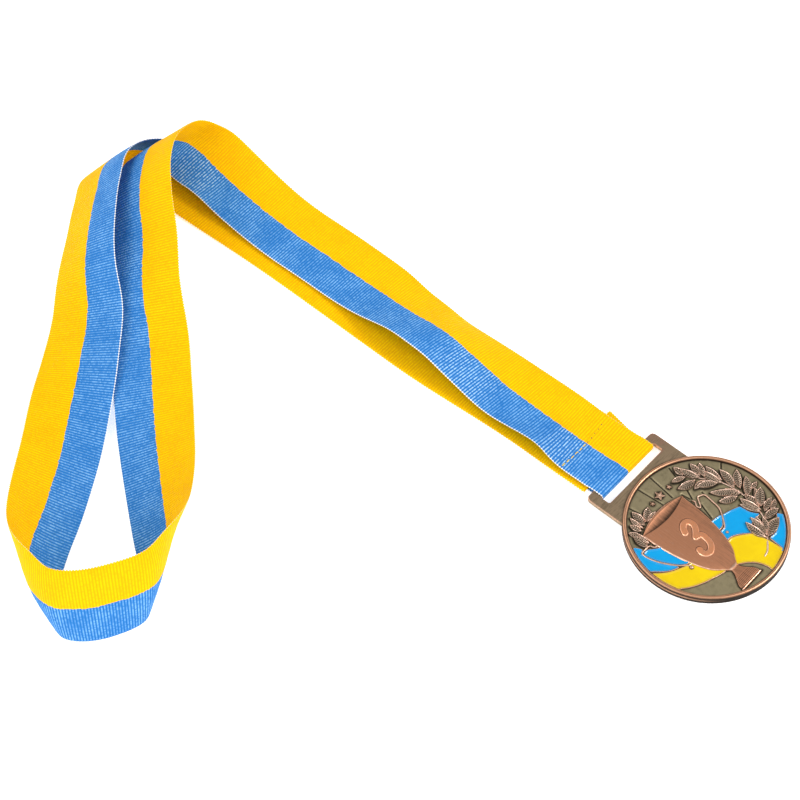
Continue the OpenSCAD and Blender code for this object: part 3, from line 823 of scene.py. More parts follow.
@dataclass(frozen=True)
class RibbonFinish:
    """Ribbed polyester ribbon, one half of each colour along its length.

    Rib crests are painted light and their valleys painted dark, a painted highlight and
    shade broken up by a random tone; edges are pale where the selvage shows, and near each
    gather, given by its place along the cloth and its reach, loose threads catch light.
    """

    name: str
    # blue and yellow_deep are the painted shaded copies of the two colours, blue_light and yellow the
    # painted lit copies
    blue: Colour
    blue_light: Colour
    yellow: Colour
    yellow_deep: Colour
    selvage: Colour = (0.86, 0.86, 0.84, 1)
    pale: Colour = (0.48, 0.70, 0.90, 1)
    rib: float = 0.9
    thread: float = 0.42
    selvage_at: float = 12.26
    selvage_shift: float = 0.15
    gathers: tuple[tuple[float, float], ...] = ((40, 7), (79, 14), (197, 10))

    def material(self, effects: SharedEffects) -> bpy.types.Material:
        """The finish as a material.

        Args:
            effects: The shared node groups.

        Returns:
            The material.
        """
        graph, material, shader = surface(self.name)
        across, along = graph.attribute("across"), graph.attribute("along")
        weave = graph.group(effects.weave, {
            "Across": across, "Along": along, "Rib": self.rib, "Thread": self.thread}).outputs
        crest, cell = weave["Crest"], weave["Cell"]
        flat = graph.node("CombineXYZ", {0: across, 1: along, 2: 0.0}).outputs[0]
        cloud = graph.ramp(graph.noise(flat, 0.12, 3.0), 0.3, 0.7, 0.6, 1.05)
        rubbed = graph.times(graph.plus(graph.times(cell, 0.5), 0.3), cloud)
        painted_shading_and_tone = graph.times(crest, rubbed)
        drawn = 0.0
        for at, reach in self.gathers:
            off = graph.math("ABSOLUTE", graph.minus(along, at))
            close = graph.ramp(off, 0.4 * reach, 1.1 * reach, 1.0, 0.0)
            drawn = graph.math("MAXIMUM", drawn, close)
        loose = graph.times(graph.ramp(crest, 0.6, 1.0), graph.ramp(cell, 0.2, 0.9, 0.1, 0.7))
        # Painted highlight on the rib crests and painted shade in the valleys, broken up by a random
        # tone
        blue_with_painted_light = graph.blend(graph.ramp(painted_shading_and_tone, 0.0, 0.8), self.blue, self.blue_light)
        blue_with_painted_light = graph.blend(graph.times(drawn, loose), blue_with_painted_light, self.pale)
        gold = graph.blend(graph.ramp(painted_shading_and_tone, 0.0, 0.5), self.yellow_deep, self.yellow)
        uneven = graph.times(graph.minus(weave["Row"], 0.5), 0.3)
        border = graph.math("GREATER_THAN", graph.plus(across, uneven), 0.0)
        bite = graph.plus(across, graph.times(crest, -0.25))
        out = graph.math("ABSOLUTE", graph.minus(bite, self.selvage_shift))
        edge = graph.math("GREATER_THAN", out, self.selvage_at)
        body = graph.blend(border, blue_with_painted_light, gold)
        graph.filled(shader, {
            "Base Color": graph.blend(edge, body, self.selvage),
            "Roughness": graph.ramp(cell, 0.0, 1.0, 0.5, 0.68),
            "Normal": graph.bump(weave["Height"], 0.5, 0.00008), "Specular IOR Level": 0.06})
        return material


@dataclass(frozen=True)
class ThreadFinish:
    """Twisted sewing thread."""

    name: str
    colour: Colour
    shadow: Colour
    twist: float = 0.28

    def material(self, effects: SharedEffects) -> bpy.types.Material:
        """The finish as a material.

        Args:
            effects: The shared node groups.

        Returns:
            The material.
        """
        graph, material, shader = surface(self.name)
        weave = graph.group(effects.weave, {
            "Across": graph.attribute("across"), "Along": graph.attribute("along"),
            "Rib": self.twist, "Thread": 1.0}).outputs
        graph.filled(shader, {
            "Base Color": graph.blend(weave["Crest"], self.shadow, self.colour),
            "Roughness": graph.ramp(weave["Cell"], 0.0, 1.0, 0.5, 0.65),
            "Normal": graph.bump(weave["Crest"], 0.6, 0.00004)})
        return material


@dataclass(frozen=True)
class FloorFinish:
    """Matt white studio paper."""

    name: str = "studio_paper"

    def material(self) -> bpy.types.Material:
        """The finish as a material.

        Returns:
            The material.
        """
        graph, material, shader = surface(self.name)
        grain = graph.noise(graph.position(), 900.0)
        graph.filled(shader, {
            "Base Color": graph.blend(grain, (0.93, 0.93, 0.93, 1), (0.96, 0.96, 0.96, 1)),
            "Roughness": 0.9, "Specular IOR Level": 0.1, "Emission Color": (1, 1, 1, 1),
            "Emission Strength": 0.5})
        return material


@dataclass
class Assembly:
    """A sub-assembly, dressed with finishes that share their node groups."""

    effects: SharedEffects


@dataclass
class MedalBody(Assembly):
    """The cast disc with its rim bead, and the slotted hanger tab."""

    radius: float = 25.0
    sides: int = 360
    bead: float = 0.65
    bead_z: float = 2.35
    bevel: float = 0.3
    tab_half: float = 16.0
    tab_top: float = 33.0
    tab_low: float = 1.05
    tab_high: float = 2.55
    tab_corner: float = 1.5
    tab_root: float = 0.8
    tab_bevel: float = 0.22
    slot_half: float = 12.75
    slot_y: tuple[float, float] = (26.6, 30.0)
    slot_corner: float = 0.4
    loop_steps: tuple[int, ...] = (64, 20, 64, 20)
    painted_reflection_turn: float = 175.0
    painted_reflection_z: float = 1.55

    def disc(self) -> Shell:
        """The disc as a profile turned about Z: flat back, side wall and rim bead.

        The bead is a half circle. A painted reflection, a light streak, lies on the wall, on the
        medal's left; it is strongest at its own turn and height and fades from there both ways.

        Returns:
            The shell.
        """
        turn = np.linspace(0, np.pi, 15)
        middle = self.radius - self.bead
        # The bead is painted darker on its outer side, a painted dark reflection
        bead = np.stack([middle + self.bead * np.cos(turn), self.bead_z + self.bead * np.sin(turn),
                         0.15 + 0.85 * np.sin(turn), 0.95 * (1 - np.sin(turn)) ** 0.8], -1)
        r = self.radius
        # Radius, height, relief and shade, from the back up the wall and over the bead
        # The wall's deep shade is a painted dark reflection; the inner wall's shade is dark patina and
        # painted shade
        profile = np.vstack([
            [[3, 0.12, 0.4, 0], [12, 0.12, 0.4, 0], [22.2, 0.12, 0.4, 0.3], [22.5, 0, 0.6, 0],
             [r - self.bevel, 0, 0.5, 0], [r - 0.09, 0.09, 0.3, 0.4], [r, self.bevel, 0.1, 0.75],
             [r, 0.6, 0.06, 0.85], [r, 0.95, 0.06, 0.85], [r, 1.25, 0.06, 0.85],
             [r, 1.65, 0.1, 0.85], [r, 1.95, 0.1, 0.9]],
            bead, [[FIELD_R, 2.2, 0.3, 0.7], [FIELD_R, 1.85, 0.1, 1], [FIELD_R, 1.5, 0.1, 1]]])
        angle = full_turn(self.sides)
        grid = np.stack(np.broadcast_arrays(
            profile[:, :1] * np.cos(angle), profile[:, :1] * np.sin(angle), profile[:, 1:2]), -1)
        # A painted reflection: a light streak on the wall, on the medal's left
        around = eased(np.cos(angle - np.radians(self.painted_reflection_turn)), 0.55, 0.9)
        painted_reflection = around * bell(profile[:, 1:2], self.painted_reflection_z, 0.4) * (profile[:, :1] >= r)
        shell = Shell("medal_disc")
        shell.tube(grid, relief=profile[:, 2:3] + 0.75 * painted_reflection,
                   shade=profile[:, 3:4] * (1 - painted_reflection))
        return shell

    def frame_lines(self) -> tuple[Array, Array]:
        """The tab's outer outline and its slot, point for point.

        Both loops run anticlockwise in four matching parts: along the rim, up the right
        side, back along the top and down the left side.

        Returns:
            The outer and the inner loop.
        """
        arc_r, half, c = self.radius - self.tab_root, self.tab_half, self.tab_corner
        low = np.arcsin(half / arc_r)
        sweep = np.linspace(-low, low, 60)
        root = np.stack([arc_r * np.sin(sweep), arc_r * np.cos(sweep)], -1)
        quarter = np.linspace(0, np.pi / 2, 9)
        corner = np.stack([half - c + c * np.cos(quarter), self.tab_top - c + c * np.sin(quarter)], -1)
        right = np.vstack([root[-1:], corner[:5]])
        top = np.vstack([corner[4:], corner[4:][::-1] * [-1, 1]])
        left = right[::-1] * [-1, 1]
        s, (y0, y1), k = self.slot_half, self.slot_y, self.slot_corner
        inner = [[[-s + k, y0], [s - k, y0], [s, y0 + k]], [[s, y0 + k], [s, y1 - k]],
                 [[s, y1 - k], [s - k, y1], [-s + k, y1], [-s, y1 - k]],
                 [[-s, y1 - k], [-s, y0 + k], [-s + k, y0]]]

        def joined(parts: list[Array | Table]) -> Array:
            """Parts evened out to the common counts and joined.

            Args:
                parts: The four parts of one loop.

            Returns:
                The loop.
            """
            runs = []
            for part, count in zip(parts, self.loop_steps):
                part = np.asarray(part, float)
                run = arc_length(part)
                at = np.linspace(0, run[-1], count, endpoint=False)
                runs.append(resampled(part, run, at))
            return np.vstack(runs)

        return joined([root, right, top, left]), joined(inner)

    def tab(self) -> Shell:
        """The tab: a rounded band carried round the slot.

        Each section runs from the slot's wall over the face to the outer wall and back
        underneath; the face is the straight line between the two matching loop points.
        The upper right corner is rubbed bright, and the tab is darker along the rim.

        Returns:
            The shell.
        """
        outer, inner = self.frame_lines()
        soft, low, high = self.tab_bevel, self.tab_low, self.tab_high

        def outward(loop: Array) -> Array:
            """Outward direction at each point of an anticlockwise loop."""
            return -leftward(np.roll(loop, -1, 0) - np.roll(loop, 1, 0))

        out, slot = outward(outer), outward(inner)
        # Share from the slot to the outer wall, inset from it, height and relief
        steps = [(0, 0, low + soft, 0.3), (0, 0, high - soft, 0.55),
                 (0, 0.3 * soft, high - 0.3 * soft, 0.85), (0, soft, high, 0.75)]
        steps += [(s, None, high, 0.36) for s in np.linspace(0.12, 0.88, 6)]
        steps += [(1, soft, high, 0.75), (1, 0.3 * soft, high - 0.3 * soft, 0.9),
                  (1, 0, high - soft, 0.6), (1, 0, low + soft, 0.35), (1, soft, low, 0.5),
                  (0.5, None, low, 0.3), (0, soft, low, 0.5)]
        rows = []
        for share, inset, z, _ in steps:
            if inset is None:
                flat = inner * (1 - share) + outer * share
            else:
                flat = inner + slot * inset if share == 0 else outer - out * inset
            rows.append(np.column_stack([flat, np.full(len(flat), z)]))
        grid = np.stack(rows, 1)
        relief = np.array([step[3] for step in steps])[None]
        x, y = grid[..., 0], grid[..., 1]
        near_rim = np.exp(-np.abs(np.hypot(x, y) - self.radius) / 0.5)
        rubbed = 0.4 * eased(x, 9, 15) * eased(y, 22, 30)
        shell = Shell("hanger_tab")
        shell.tube(grid, closed=True, relief=np.clip(relief + rubbed, 0, 1),
                   shade=0.75 * near_rim)
        return shell

    def build(self) -> None:
        """Make the disc and the tab and dress them."""
        rim = PlatedFinish("rim_copper", low=(0.05, 0.026, 0.012, 1), mid=(0.30, 0.165, 0.10, 1),
                           high=(0.70, 0.37, 0.22, 1), strokes=0.1, mottle=0.3)
        tab = PlatedFinish("tab_copper", low=(0.13, 0.10, 0.06, 1), mid=(0.36, 0.26, 0.165, 1),
                           high=(0.66, 0.38, 0.26, 1), stretch=(250.0, 2600.0, 900.0), strokes=0.3)
        self.disc().piece(rim.material(self.effects), Slot.METAL, "medal")
        self.tab().piece(tab.material(self.effects), Slot.METAL)


@dataclass
class Cup(Assembly):
    """The trophy cup in low relief, with its hollow mouth, foot and numeral."""

    edge: float = 0.35
    crown: float = 0.45
    crown_power: float = 2.4
    bowl_end: float = -15.25
    collar_y: float = -14.3
    foot_top: float = -14.4
    foot_end: float = -21.25
    foot_ridge_y: float = -21.02
    foot_groove_y: float = -20.62
    foot_blob: tuple[float, float] = (0.86, -20.95)
    foot_line: float = 0.5
    lip_rise: float = 0.42
    lip_w: float = 0.18
    mouth_y: float = 12.0
    mouth_back: float = 2.25
    mouth_up: float = 1.5
    mouth_down: float = 2.0
    mouth_depth: float = 0.42
    numeral_half: float = 1.05
    numeral_rise: float = 0.3
    numeral_slope: float = 0.24
    numeral_box: tuple[float, float, float, float] = (-10.0, 0.2, -7.4, 7.4)
    pitch: float = 0.09
    columns: int = 121
    well_rows: int = 18
    bowl_rows: int = 140
    middle: float = CUP_X

    def half(self, y: Array, table: Table = CUP_BOWL) -> Array:
        """Half width at each y, on a soft line through the table.

        Args:
            y: Places along the cup.
            table: Rows of y and half width.

        Returns:
            One half width for each place.
        """
        line = curved(table, 10)
        order = np.argsort(line[:, 0])
        return np.interp(y, line[order, 0], line[order, 1])

    def height(self, x: Array, y: Array) -> Array:
        """Height of the bowl: an edge that rounds up to a crown over the axis.

        The crown is 1 less a power of the share of the half width, and lower at the stem.

        Args:
            x: Grid of x.
            y: Grid of y.

        Returns:
            Grid of heights.
        """
        share = np.clip(np.abs(x - self.middle) / self.half(y), 0, 1)
        crown = self.crown * (1 - share ** self.crown_power) * np.interp(y, [-15, -8], [0.6, 1])
        return FIELD_Z + self.edge + crown

    def numeral_line(self) -> list[Array]:
        """Middles of the two strokes of the 3."""
        return [curved(NUMERAL_UPPER, 6), curved(NUMERAL_LOWER, 6)]

    def to_numeral(self, at: Array) -> Array:
        """Distance to the closer stroke."""
        return np.minimum(*(to_line(at, line) for line in self.numeral_line()))

    def bowl(self) -> Shell:
        """The bowl as rows across it, from the back lip over the mouth down to the stem.

        A row is a curve x = middle + b half(y), with y a curve of b; inside the mouth the
        height falls from the back lip to its deepest just behind the front lip, and painted
        shade darkens it towards the front lip. Below it the crown rounds off to the edge, a
        painted highlight runs beside the edge, a collar stands over the stem, painted shade
        darkens the bowl towards the right and the bottom, and a painted shadow lies round the
        numeral, wider on its +Y side.

        Returns:
            The shell.
        """
        b = np.linspace(-1, 1, self.columns)
        arch = 1 - b * b
        back = self.mouth_y + self.mouth_back * arch
        behind = self.mouth_y + self.mouth_up * arch
        front = self.mouth_y - self.mouth_down * arch
        lip = FIELD_Z + self.lip_rise + 0.12 * arch
        crest = FIELD_Z + self.edge + self.crown * (1 - np.abs(b) ** self.crown_power)
        ys, zs, rel, dark = [], [], [], []

        def row(y: Array, z: Array | float, relief: Array | float, shade: Array | float) -> None:
            """Keep one row.

            Args:
                y: Its places along the cup.
                z: Its heights.
                relief: How bright it is painted: rubbed high points and painted light.
                shade: How dark it is painted: dark patina and painted shade.
            """
            ys.append(y)
            zs.append(np.broadcast_to(z, b.shape))
            rel.append(np.broadcast_to(relief, b.shape))
            dark.append(np.broadcast_to(shade, b.shape))

        row(back, FLOOR_Z, 0.5, 1)
        row(back, lip - 0.16, 0.7, 0.3)
        row(back - 0.06 * arch, lip - 0.04, 0.8, 0)
        row(back - 0.16 * arch, lip, 0.7, 0)
        row(behind + 0.1 * arch, lip, 0.55, 0)
        for t in np.linspace(1, 0.06, self.well_rows):
            well = self.mouth_depth * arch * np.sin(np.pi / 2 * min(1, (1 - t) / 0.72)) ** 0.8
            blend = eased(t, 0.16, 0.06)
            z = (lip - well) * (1 - blend) + (crest - 0.05) * blend
            # Painted light and shade in the mouth: lighter towards the back, painted shade towards the
            # front lip
            lit = np.clip(0.42 - 0.1 * b - 0.34 * (1 - t), 0.05, 1)
            row(front + t * (behind - front), z, lit, np.clip(0.9 - 1.3 * t, 0, 0.6))
        row(front, crest - 0.02, 0.5, 0.2)
        row(front - self.lip_w, crest, 0.5, 0)
        for s in np.linspace(0.008, 1, self.bowl_rows):
            y = (front - self.lip_w) * (1 - s) + self.bowl_end * s
            x = self.middle + b * self.half(y)
            inward = (1 - np.abs(b)) * self.half(y)
            collar = bell(y, self.collar_y, 0.5)
            # A painted shadow round the numeral, shifted so that it is wider on its +Y side
            ring = self.to_numeral(np.column_stack([x, y - 0.13])) - self.numeral_half
            # A painted highlight beside the bowl's edge
            painted_highlight = 0.45 * bell(inward, 0.22, 0.16)
            z = self.height(x, y) - 0.25 * eased(inward, 0.35, 0) ** 2 + 0.12 * collar
            # Painted shade: darker towards the right and the bottom
            painted_shading_and_tone = 0.5 - 0.16 * eased(b, 0.35, 0.85) - 0.1 * eased(y, -6, -13)
            row(y, z, painted_shading_and_tone + np.maximum(painted_highlight, 0.45 * collar),
                0.85 * np.exp(-np.clip(ring, 0, None) / 0.13) * (ring > -0.3))
        y = np.stack(ys)
        top = np.stack([self.middle + b * self.half(y), y, np.stack(zs)], -1)
        top[-1, :, 2] = FIELD_Z
        shell = Shell("trophy_cup")
        shell.relief_rows(top, np.stack(rel), np.stack(dark), under=(0.4, 0.9))
        return shell

    def foot(self) -> Shell:
        """The foot: a flared half-round that ends in a groove and a thin bright ridge.

        Its crown flattens downwards. A small blob stands at the right end of the ridge,
        fine lines run across the lower half, and painted shade darkens the left edge.

        Returns:
            The shell.
        """
        y = np.linspace(self.foot_top, self.foot_end, 90)
        half = self.half(y, CUP_FOOT)
        b = np.linspace(-1, 1, 41)
        down = eased(y, -17, -20.5)[:, None]
        base = bell(y, self.foot_ridge_y, 0.17)[:, None]
        groove = bell(y, self.foot_groove_y, 0.12)[:, None]
        inward = (1 - np.abs(b)) * half[:, None]
        edge = bell(inward, 0.2, np.sqrt(0.03))
        blob = bell(b, self.foot_blob[0], 0.1) * bell(y, self.foot_blob[1], 0.3)[:, None]
        z = FIELD_Z + self.lip_rise + 0.2 * (1 - b[None] ** 2) * (1 - 0.7 * down) - 0.1 * groove
        z = z + 0.14 * base + 0.12 * blob - 0.2 * eased(inward, 0.25, 0)
        lines = 0.2 * np.cos(2 * np.pi * y / self.foot_line)[:, None] * (down > 0.1)
        relief = np.clip(0.3 + 0.65 * base + 0.3 * edge + 0.5 * blob + lines, 0, 1)
        # Painted shade along the left edge
        left = 0.5 * eased(b, -0.6, -1) * (1 - base)
        shade = np.clip(0.85 * groove + left, 0, 1)
        top = np.stack(np.broadcast_arrays(self.middle + half[:, None] * b, y[:, None], z), -1)
        shell = Shell("cup_foot")
        shell.relief_rows(top, relief, shade, under=(0.4, 0.8))
        return shell

    def numeral(self) -> Shell:
        """The 3: a flat face with sloped sides, as a height over the distance to its strokes.

        Returns:
            The shell.
        """
        x0, x1, y0, y1 = self.numeral_box
        x, y = np.meshgrid(np.arange(x0, x1, self.pitch), np.arange(y0, y1, self.pitch))
        far = self.to_numeral(listed(x, y)).reshape(x.shape)
        slope = np.clip((self.numeral_half - far) / self.numeral_slope, -0.6, 1)
        z = self.height(x, y) + self.numeral_rise * slope
        inside = far[:-1, :-1] < self.numeral_half + 0.1
        shell = Shell("numeral")
        # The sloped sides are painted brighter, a painted highlight, and painted shade lies round the
        # numeral's foot
        shell.slab(x, y, inside, z, FIELD_Z, relief=0.55 + 0.2 * (slope < 0.95),
                   shade=0.7 * eased(far - self.numeral_half, -0.08, 0.04))
        return shell

    def build(self) -> None:
        """Make the bowl, the foot and the numeral and dress them."""
        satin = PlatedFinish("cup_copper", low=(0.14, 0.075, 0.045, 1), mid=(0.54, 0.245, 0.135, 1),
                             high=(0.95, 0.62, 0.45, 1), stretch=(2400.0, 160.0, 600.0),
                             strokes=0.2, mottle=0.3)
        bright = PlatedFinish("numeral_copper", low=(0.16, 0.07, 0.04, 1), mid=(0.80, 0.34, 0.17, 1),
                              high=(1.0, 0.70, 0.50, 1), strokes=0.1, mottle=0.2)
        self.bowl().piece(satin.material(self.effects), Slot.METAL)
        self.foot().piece(satin.material(self.effects), Slot.METAL)
        self.numeral().piece(bright.material(self.effects), Slot.METAL)


@dataclass
class Line:
    """A drawn line in relief, carried along a flat path.

    Across it the height is a power of a half circle's, so that its sides are steep.
    """

    path: Array
    width: Array | float
    rise: float
    closed: bool = False

    def add(self, shell: Shell) -> None:
        """Add the line's surface to a shell.

        Args:
            shell: What it is added to.
        """
        turn = np.linspace(0, np.pi, 9)
        high = FIELD_Z - 0.1 + (self.rise + 0.1) * np.sin(turn) ** 0.7
        arch = np.stack([np.cos(turn) / 2, high], -1)
        profile = np.vstack([[0.5, FLOOR_Z], arch, [-0.5, FLOOR_Z]])
        relief = np.r_[0.1, 0.3 + 0.65 * np.sin(turn), 0.1]
        shade = np.r_[1, 0.95 * (1 - np.sin(turn)), 1]
        shell.tube(raised(self.path, profile, self.width, self.closed), closed=self.closed,
                   relief=relief[None], shade=shade[None])


@dataclass
class Laurel(Assembly):
    """The laurel: leaves with a raised outline, a midrib and slanting veins, on a stem."""

    height: float = 0.4
    level_step: float = 0.12
    fullness: float = 0.58
    bend: float = 0.05
    ridge_in: float = 0.18
    ridge_w: float = 0.13
    rib_w: float = 0.11
    veins_per_mm: float = 1.5
    long_steps: int = 44
    wide_steps: int = 31
    stem_width: float = 0.62
    stem_rise: float = 0.28

    def outline(self, leaf: list[float], count: int = 24) -> Array:
        """Points round one leaf, for the dark patina and painted shade beside it.

        The half width is a power of a sine over the leaf's length.

        Args:
            leaf: Base, tip and width.
            count: Points along each side.

        Returns:
            Points x, y.
        """
        base, tip = np.array(leaf[:2]), np.array(leaf[2:4])
        run = tip - base
        side = leftward(run)
        u = np.linspace(0, 1, count)[:, None]
        wide = leaf[4] / 2 * np.sin(np.pi * u) ** 0.8
        return np.vstack([base + run * u + side * wide, base + run * u - side * wide])

    def leaf(self, shell: Shell, leaf: list[float], order: int) -> None:
        """Add one leaf.

        Its half width is a sine over its length, and it bends along a parabola. Across it
        stand an outline ridge near each edge and a midrib, with narrow veins between them
        that slant to the tip. The half that faces the light is a little brighter.

        Args:
            shell: What it is added to.
            leaf: Base, tip and width.
            order: Its number, which sets its level and its bend.
        """
        base, tip = np.array(leaf[:2]), np.array(leaf[2:4])
        run = tip - base
        long = np.linalg.norm(run)
        side = leftward(run)
        u = np.linspace(0.0, 1.0, self.long_steps)[:, None]
        v = np.linspace(-1, 1, self.wide_steps)[None]
        swell = np.clip(np.sin(np.pi * np.clip(u, 0.02, 0.985)), 0.03, 1) ** 0.8
        half = self.fullness * leaf[4] * swell
        bend = self.bend * long * (1 if order % 2 else -1) * 4 * u * (1 - u)
        flat = base + run * u[..., None] + side * (half * v + bend)[..., None]
        inward = (1 - np.abs(v)) * half
        ridge = bell(inward, self.ridge_in, self.ridge_w)
        rib = bell(v * half, 0, self.rib_w) * (1 - 0.5 * u)
        phase = u * max(4, round(long * self.veins_per_mm)) - np.abs(v) * 1.1
        vein = 0.5 + 0.5 * np.cos(2 * np.pi * phase)
        vein = vein * eased(np.abs(v), 0.1, 0.2) * eased(inward, 0.25, 0.35)
        carve = np.maximum(np.maximum(ridge, rib), 0.75 * vein)
        high = FIELD_Z + self.height + self.level_step * (order % 3)
        z = high - 0.24 + 0.36 * carve - 0.5 * eased(inward, 0.1, 0)
        z = z + 0.14 * (1 - v * v)
        lit = 0.16 * np.sign(run[0] - run[1]) * np.broadcast_to(v, z.shape)
        relief = np.clip(0.05 + 0.9 * np.maximum(ridge, rib) + 0.55 * vein + lit, 0, 1)
        shade = np.clip(1.1 - 1.9 * carve - lit, 0, 0.9)
        top = np.concatenate([flat, z[..., None]], -1)
        shell.relief_rows(top, relief, shade, under=(0.1, 1.0))

    def build(self) -> None:
        """Make the leaves and the stem and dress them."""
        finish = PlatedFinish("laurel_copper", low=(0.08, 0.06, 0.04, 1), mid=(0.40, 0.30, 0.22, 1),
                              high=(1.0, 0.70, 0.56, 1), mottle=0.45).material(self.effects)
        leaves = Shell("laurel_leaves")
        for order, leaf in enumerate(LEAVES):
            self.leaf(leaves, leaf, order)
        leaves.piece(finish, Slot.METAL, sharp=60)
        path = evened(curved(STEM), 0.25)
        taper = np.interp(np.arange(len(path)), [0, 6, len(path) - 1], [0.9, 1, 0.6])
        stem = Shell("laurel_stem")
        Line(path, self.stem_width * taper, self.stem_rise).add(stem)
        stem.piece(finish, Slot.METAL, sharp=60)


@dataclass
class Ornaments(Assembly):
    """The cup's handles, each with a knob at its lower end, and the three stars."""

    line: float = 0.6
    rise: float = 0.5
    knob_left: tuple[float, float, float] = (-14, -5.2, 0.7)
    knob_right: tuple[float, float, float] = (2.6, -5.7, 0.5)
    star_points: int = 5
    star_waist: float = 0.45

    def star(self, shell: Shell, star: list[float]) -> None:
        """Add one faceted star.

        Its radius falls along straight lines from each tip to the waist between two tips,
        and its height falls evenly from the middle to the outline.

        Args:
            shell: What it is added to.
            star: Middle and radius.
        """
        corners = np.arange(2 * self.star_points + 1)
        turn = np.radians(90) + corners * np.pi / self.star_points
        reach = star[2] * np.where(corners % 2 == 0, 1, self.star_waist)
        outline = evened(np.stack([reach * np.cos(turn), reach * np.sin(turn)], -1), star[2] / 16)
        # Share of the outline, height over the field, relief and shade
        levels = np.array([
            [1, FLOOR_Z - FIELD_Z, 0.1, 1], [1, 0.1, 0.2, 1], [0.88, 0.2, 0.85, 0.1],
            [0.6, 0.36, 0.6, 0.1], [0.3, 0.5, 0.8, 0], [0.05, 0.62, 1, 0]])
        flat = outline[None] * levels[:, :1, None] + star[:2]
        high = np.broadcast_to(FIELD_Z + levels[:, 1, None, None], flat.shape[:2] + (1,))
        grid = np.concatenate([flat, high], -1)
        shell.tube(grid, relief=levels[:, 2:3], shade=levels[:, 3:4])

    def handle(self, name: str, table: Table, knob: tuple[float, float, float]) -> Shell:
        """One handle: a line that tapers at both ends, and its knob, a dome on the field.

        Args:
            name: The piece's name.
            table: The line's middle.
            knob: The knob's middle and radius.

        Returns:
            The shell.
        """
        path = evened(curved(table), 0.2)
        ends = np.minimum(np.arange(len(path)), np.arange(len(path))[::-1])
        shell = Shell(name)
        Line(path, self.line * np.clip(0.35 + ends / 8, 0, 1), self.rise).add(shell)
        dome = np.linspace(0.0, np.pi / 2, 6)[:, None]
        turn = full_turn(20)[None]
        reach = np.maximum(knob[2] * np.cos(dome), 0.05)
        grid = np.stack(np.broadcast_arrays(
            knob[0] + reach * np.cos(turn), knob[1] + reach * np.sin(turn),
            FIELD_Z + 0.05 + 0.8 * knob[2] * np.sin(dome)), -1)
        shell.tube(np.concatenate([grid[:1] * [1, 1, 0] + [0, 0, FLOOR_Z], grid]),
                   relief=np.r_[0.1, 0.3 + 0.6 * np.sin(dome[:, 0])][:, None],
                   shade=np.r_[1, 0.7 * np.cos(dome[:, 0]) ** 3][:, None])
        return shell

    def build(self) -> None:
        """Make the handles and the stars and dress them."""
        finish = PlatedFinish("ornament_copper", low=(0.05, 0.03, 0.02, 1),
                              mid=(0.26, 0.155, 0.10, 1), high=(0.80, 0.52, 0.38, 1),
                              mottle=0.8).material(self.effects)
        for shell in (self.handle("handle_left", HANDLE_LEFT, self.knob_left),
                      self.handle("handle_right", HANDLE_RIGHT, self.knob_right)):
            shell.piece(finish, Slot.METAL, sharp=60)
        stars = Shell("stars")
        for star in STARS:
            self.star(stars, star)
        stars.piece(finish, Slot.METAL, sharp=15)


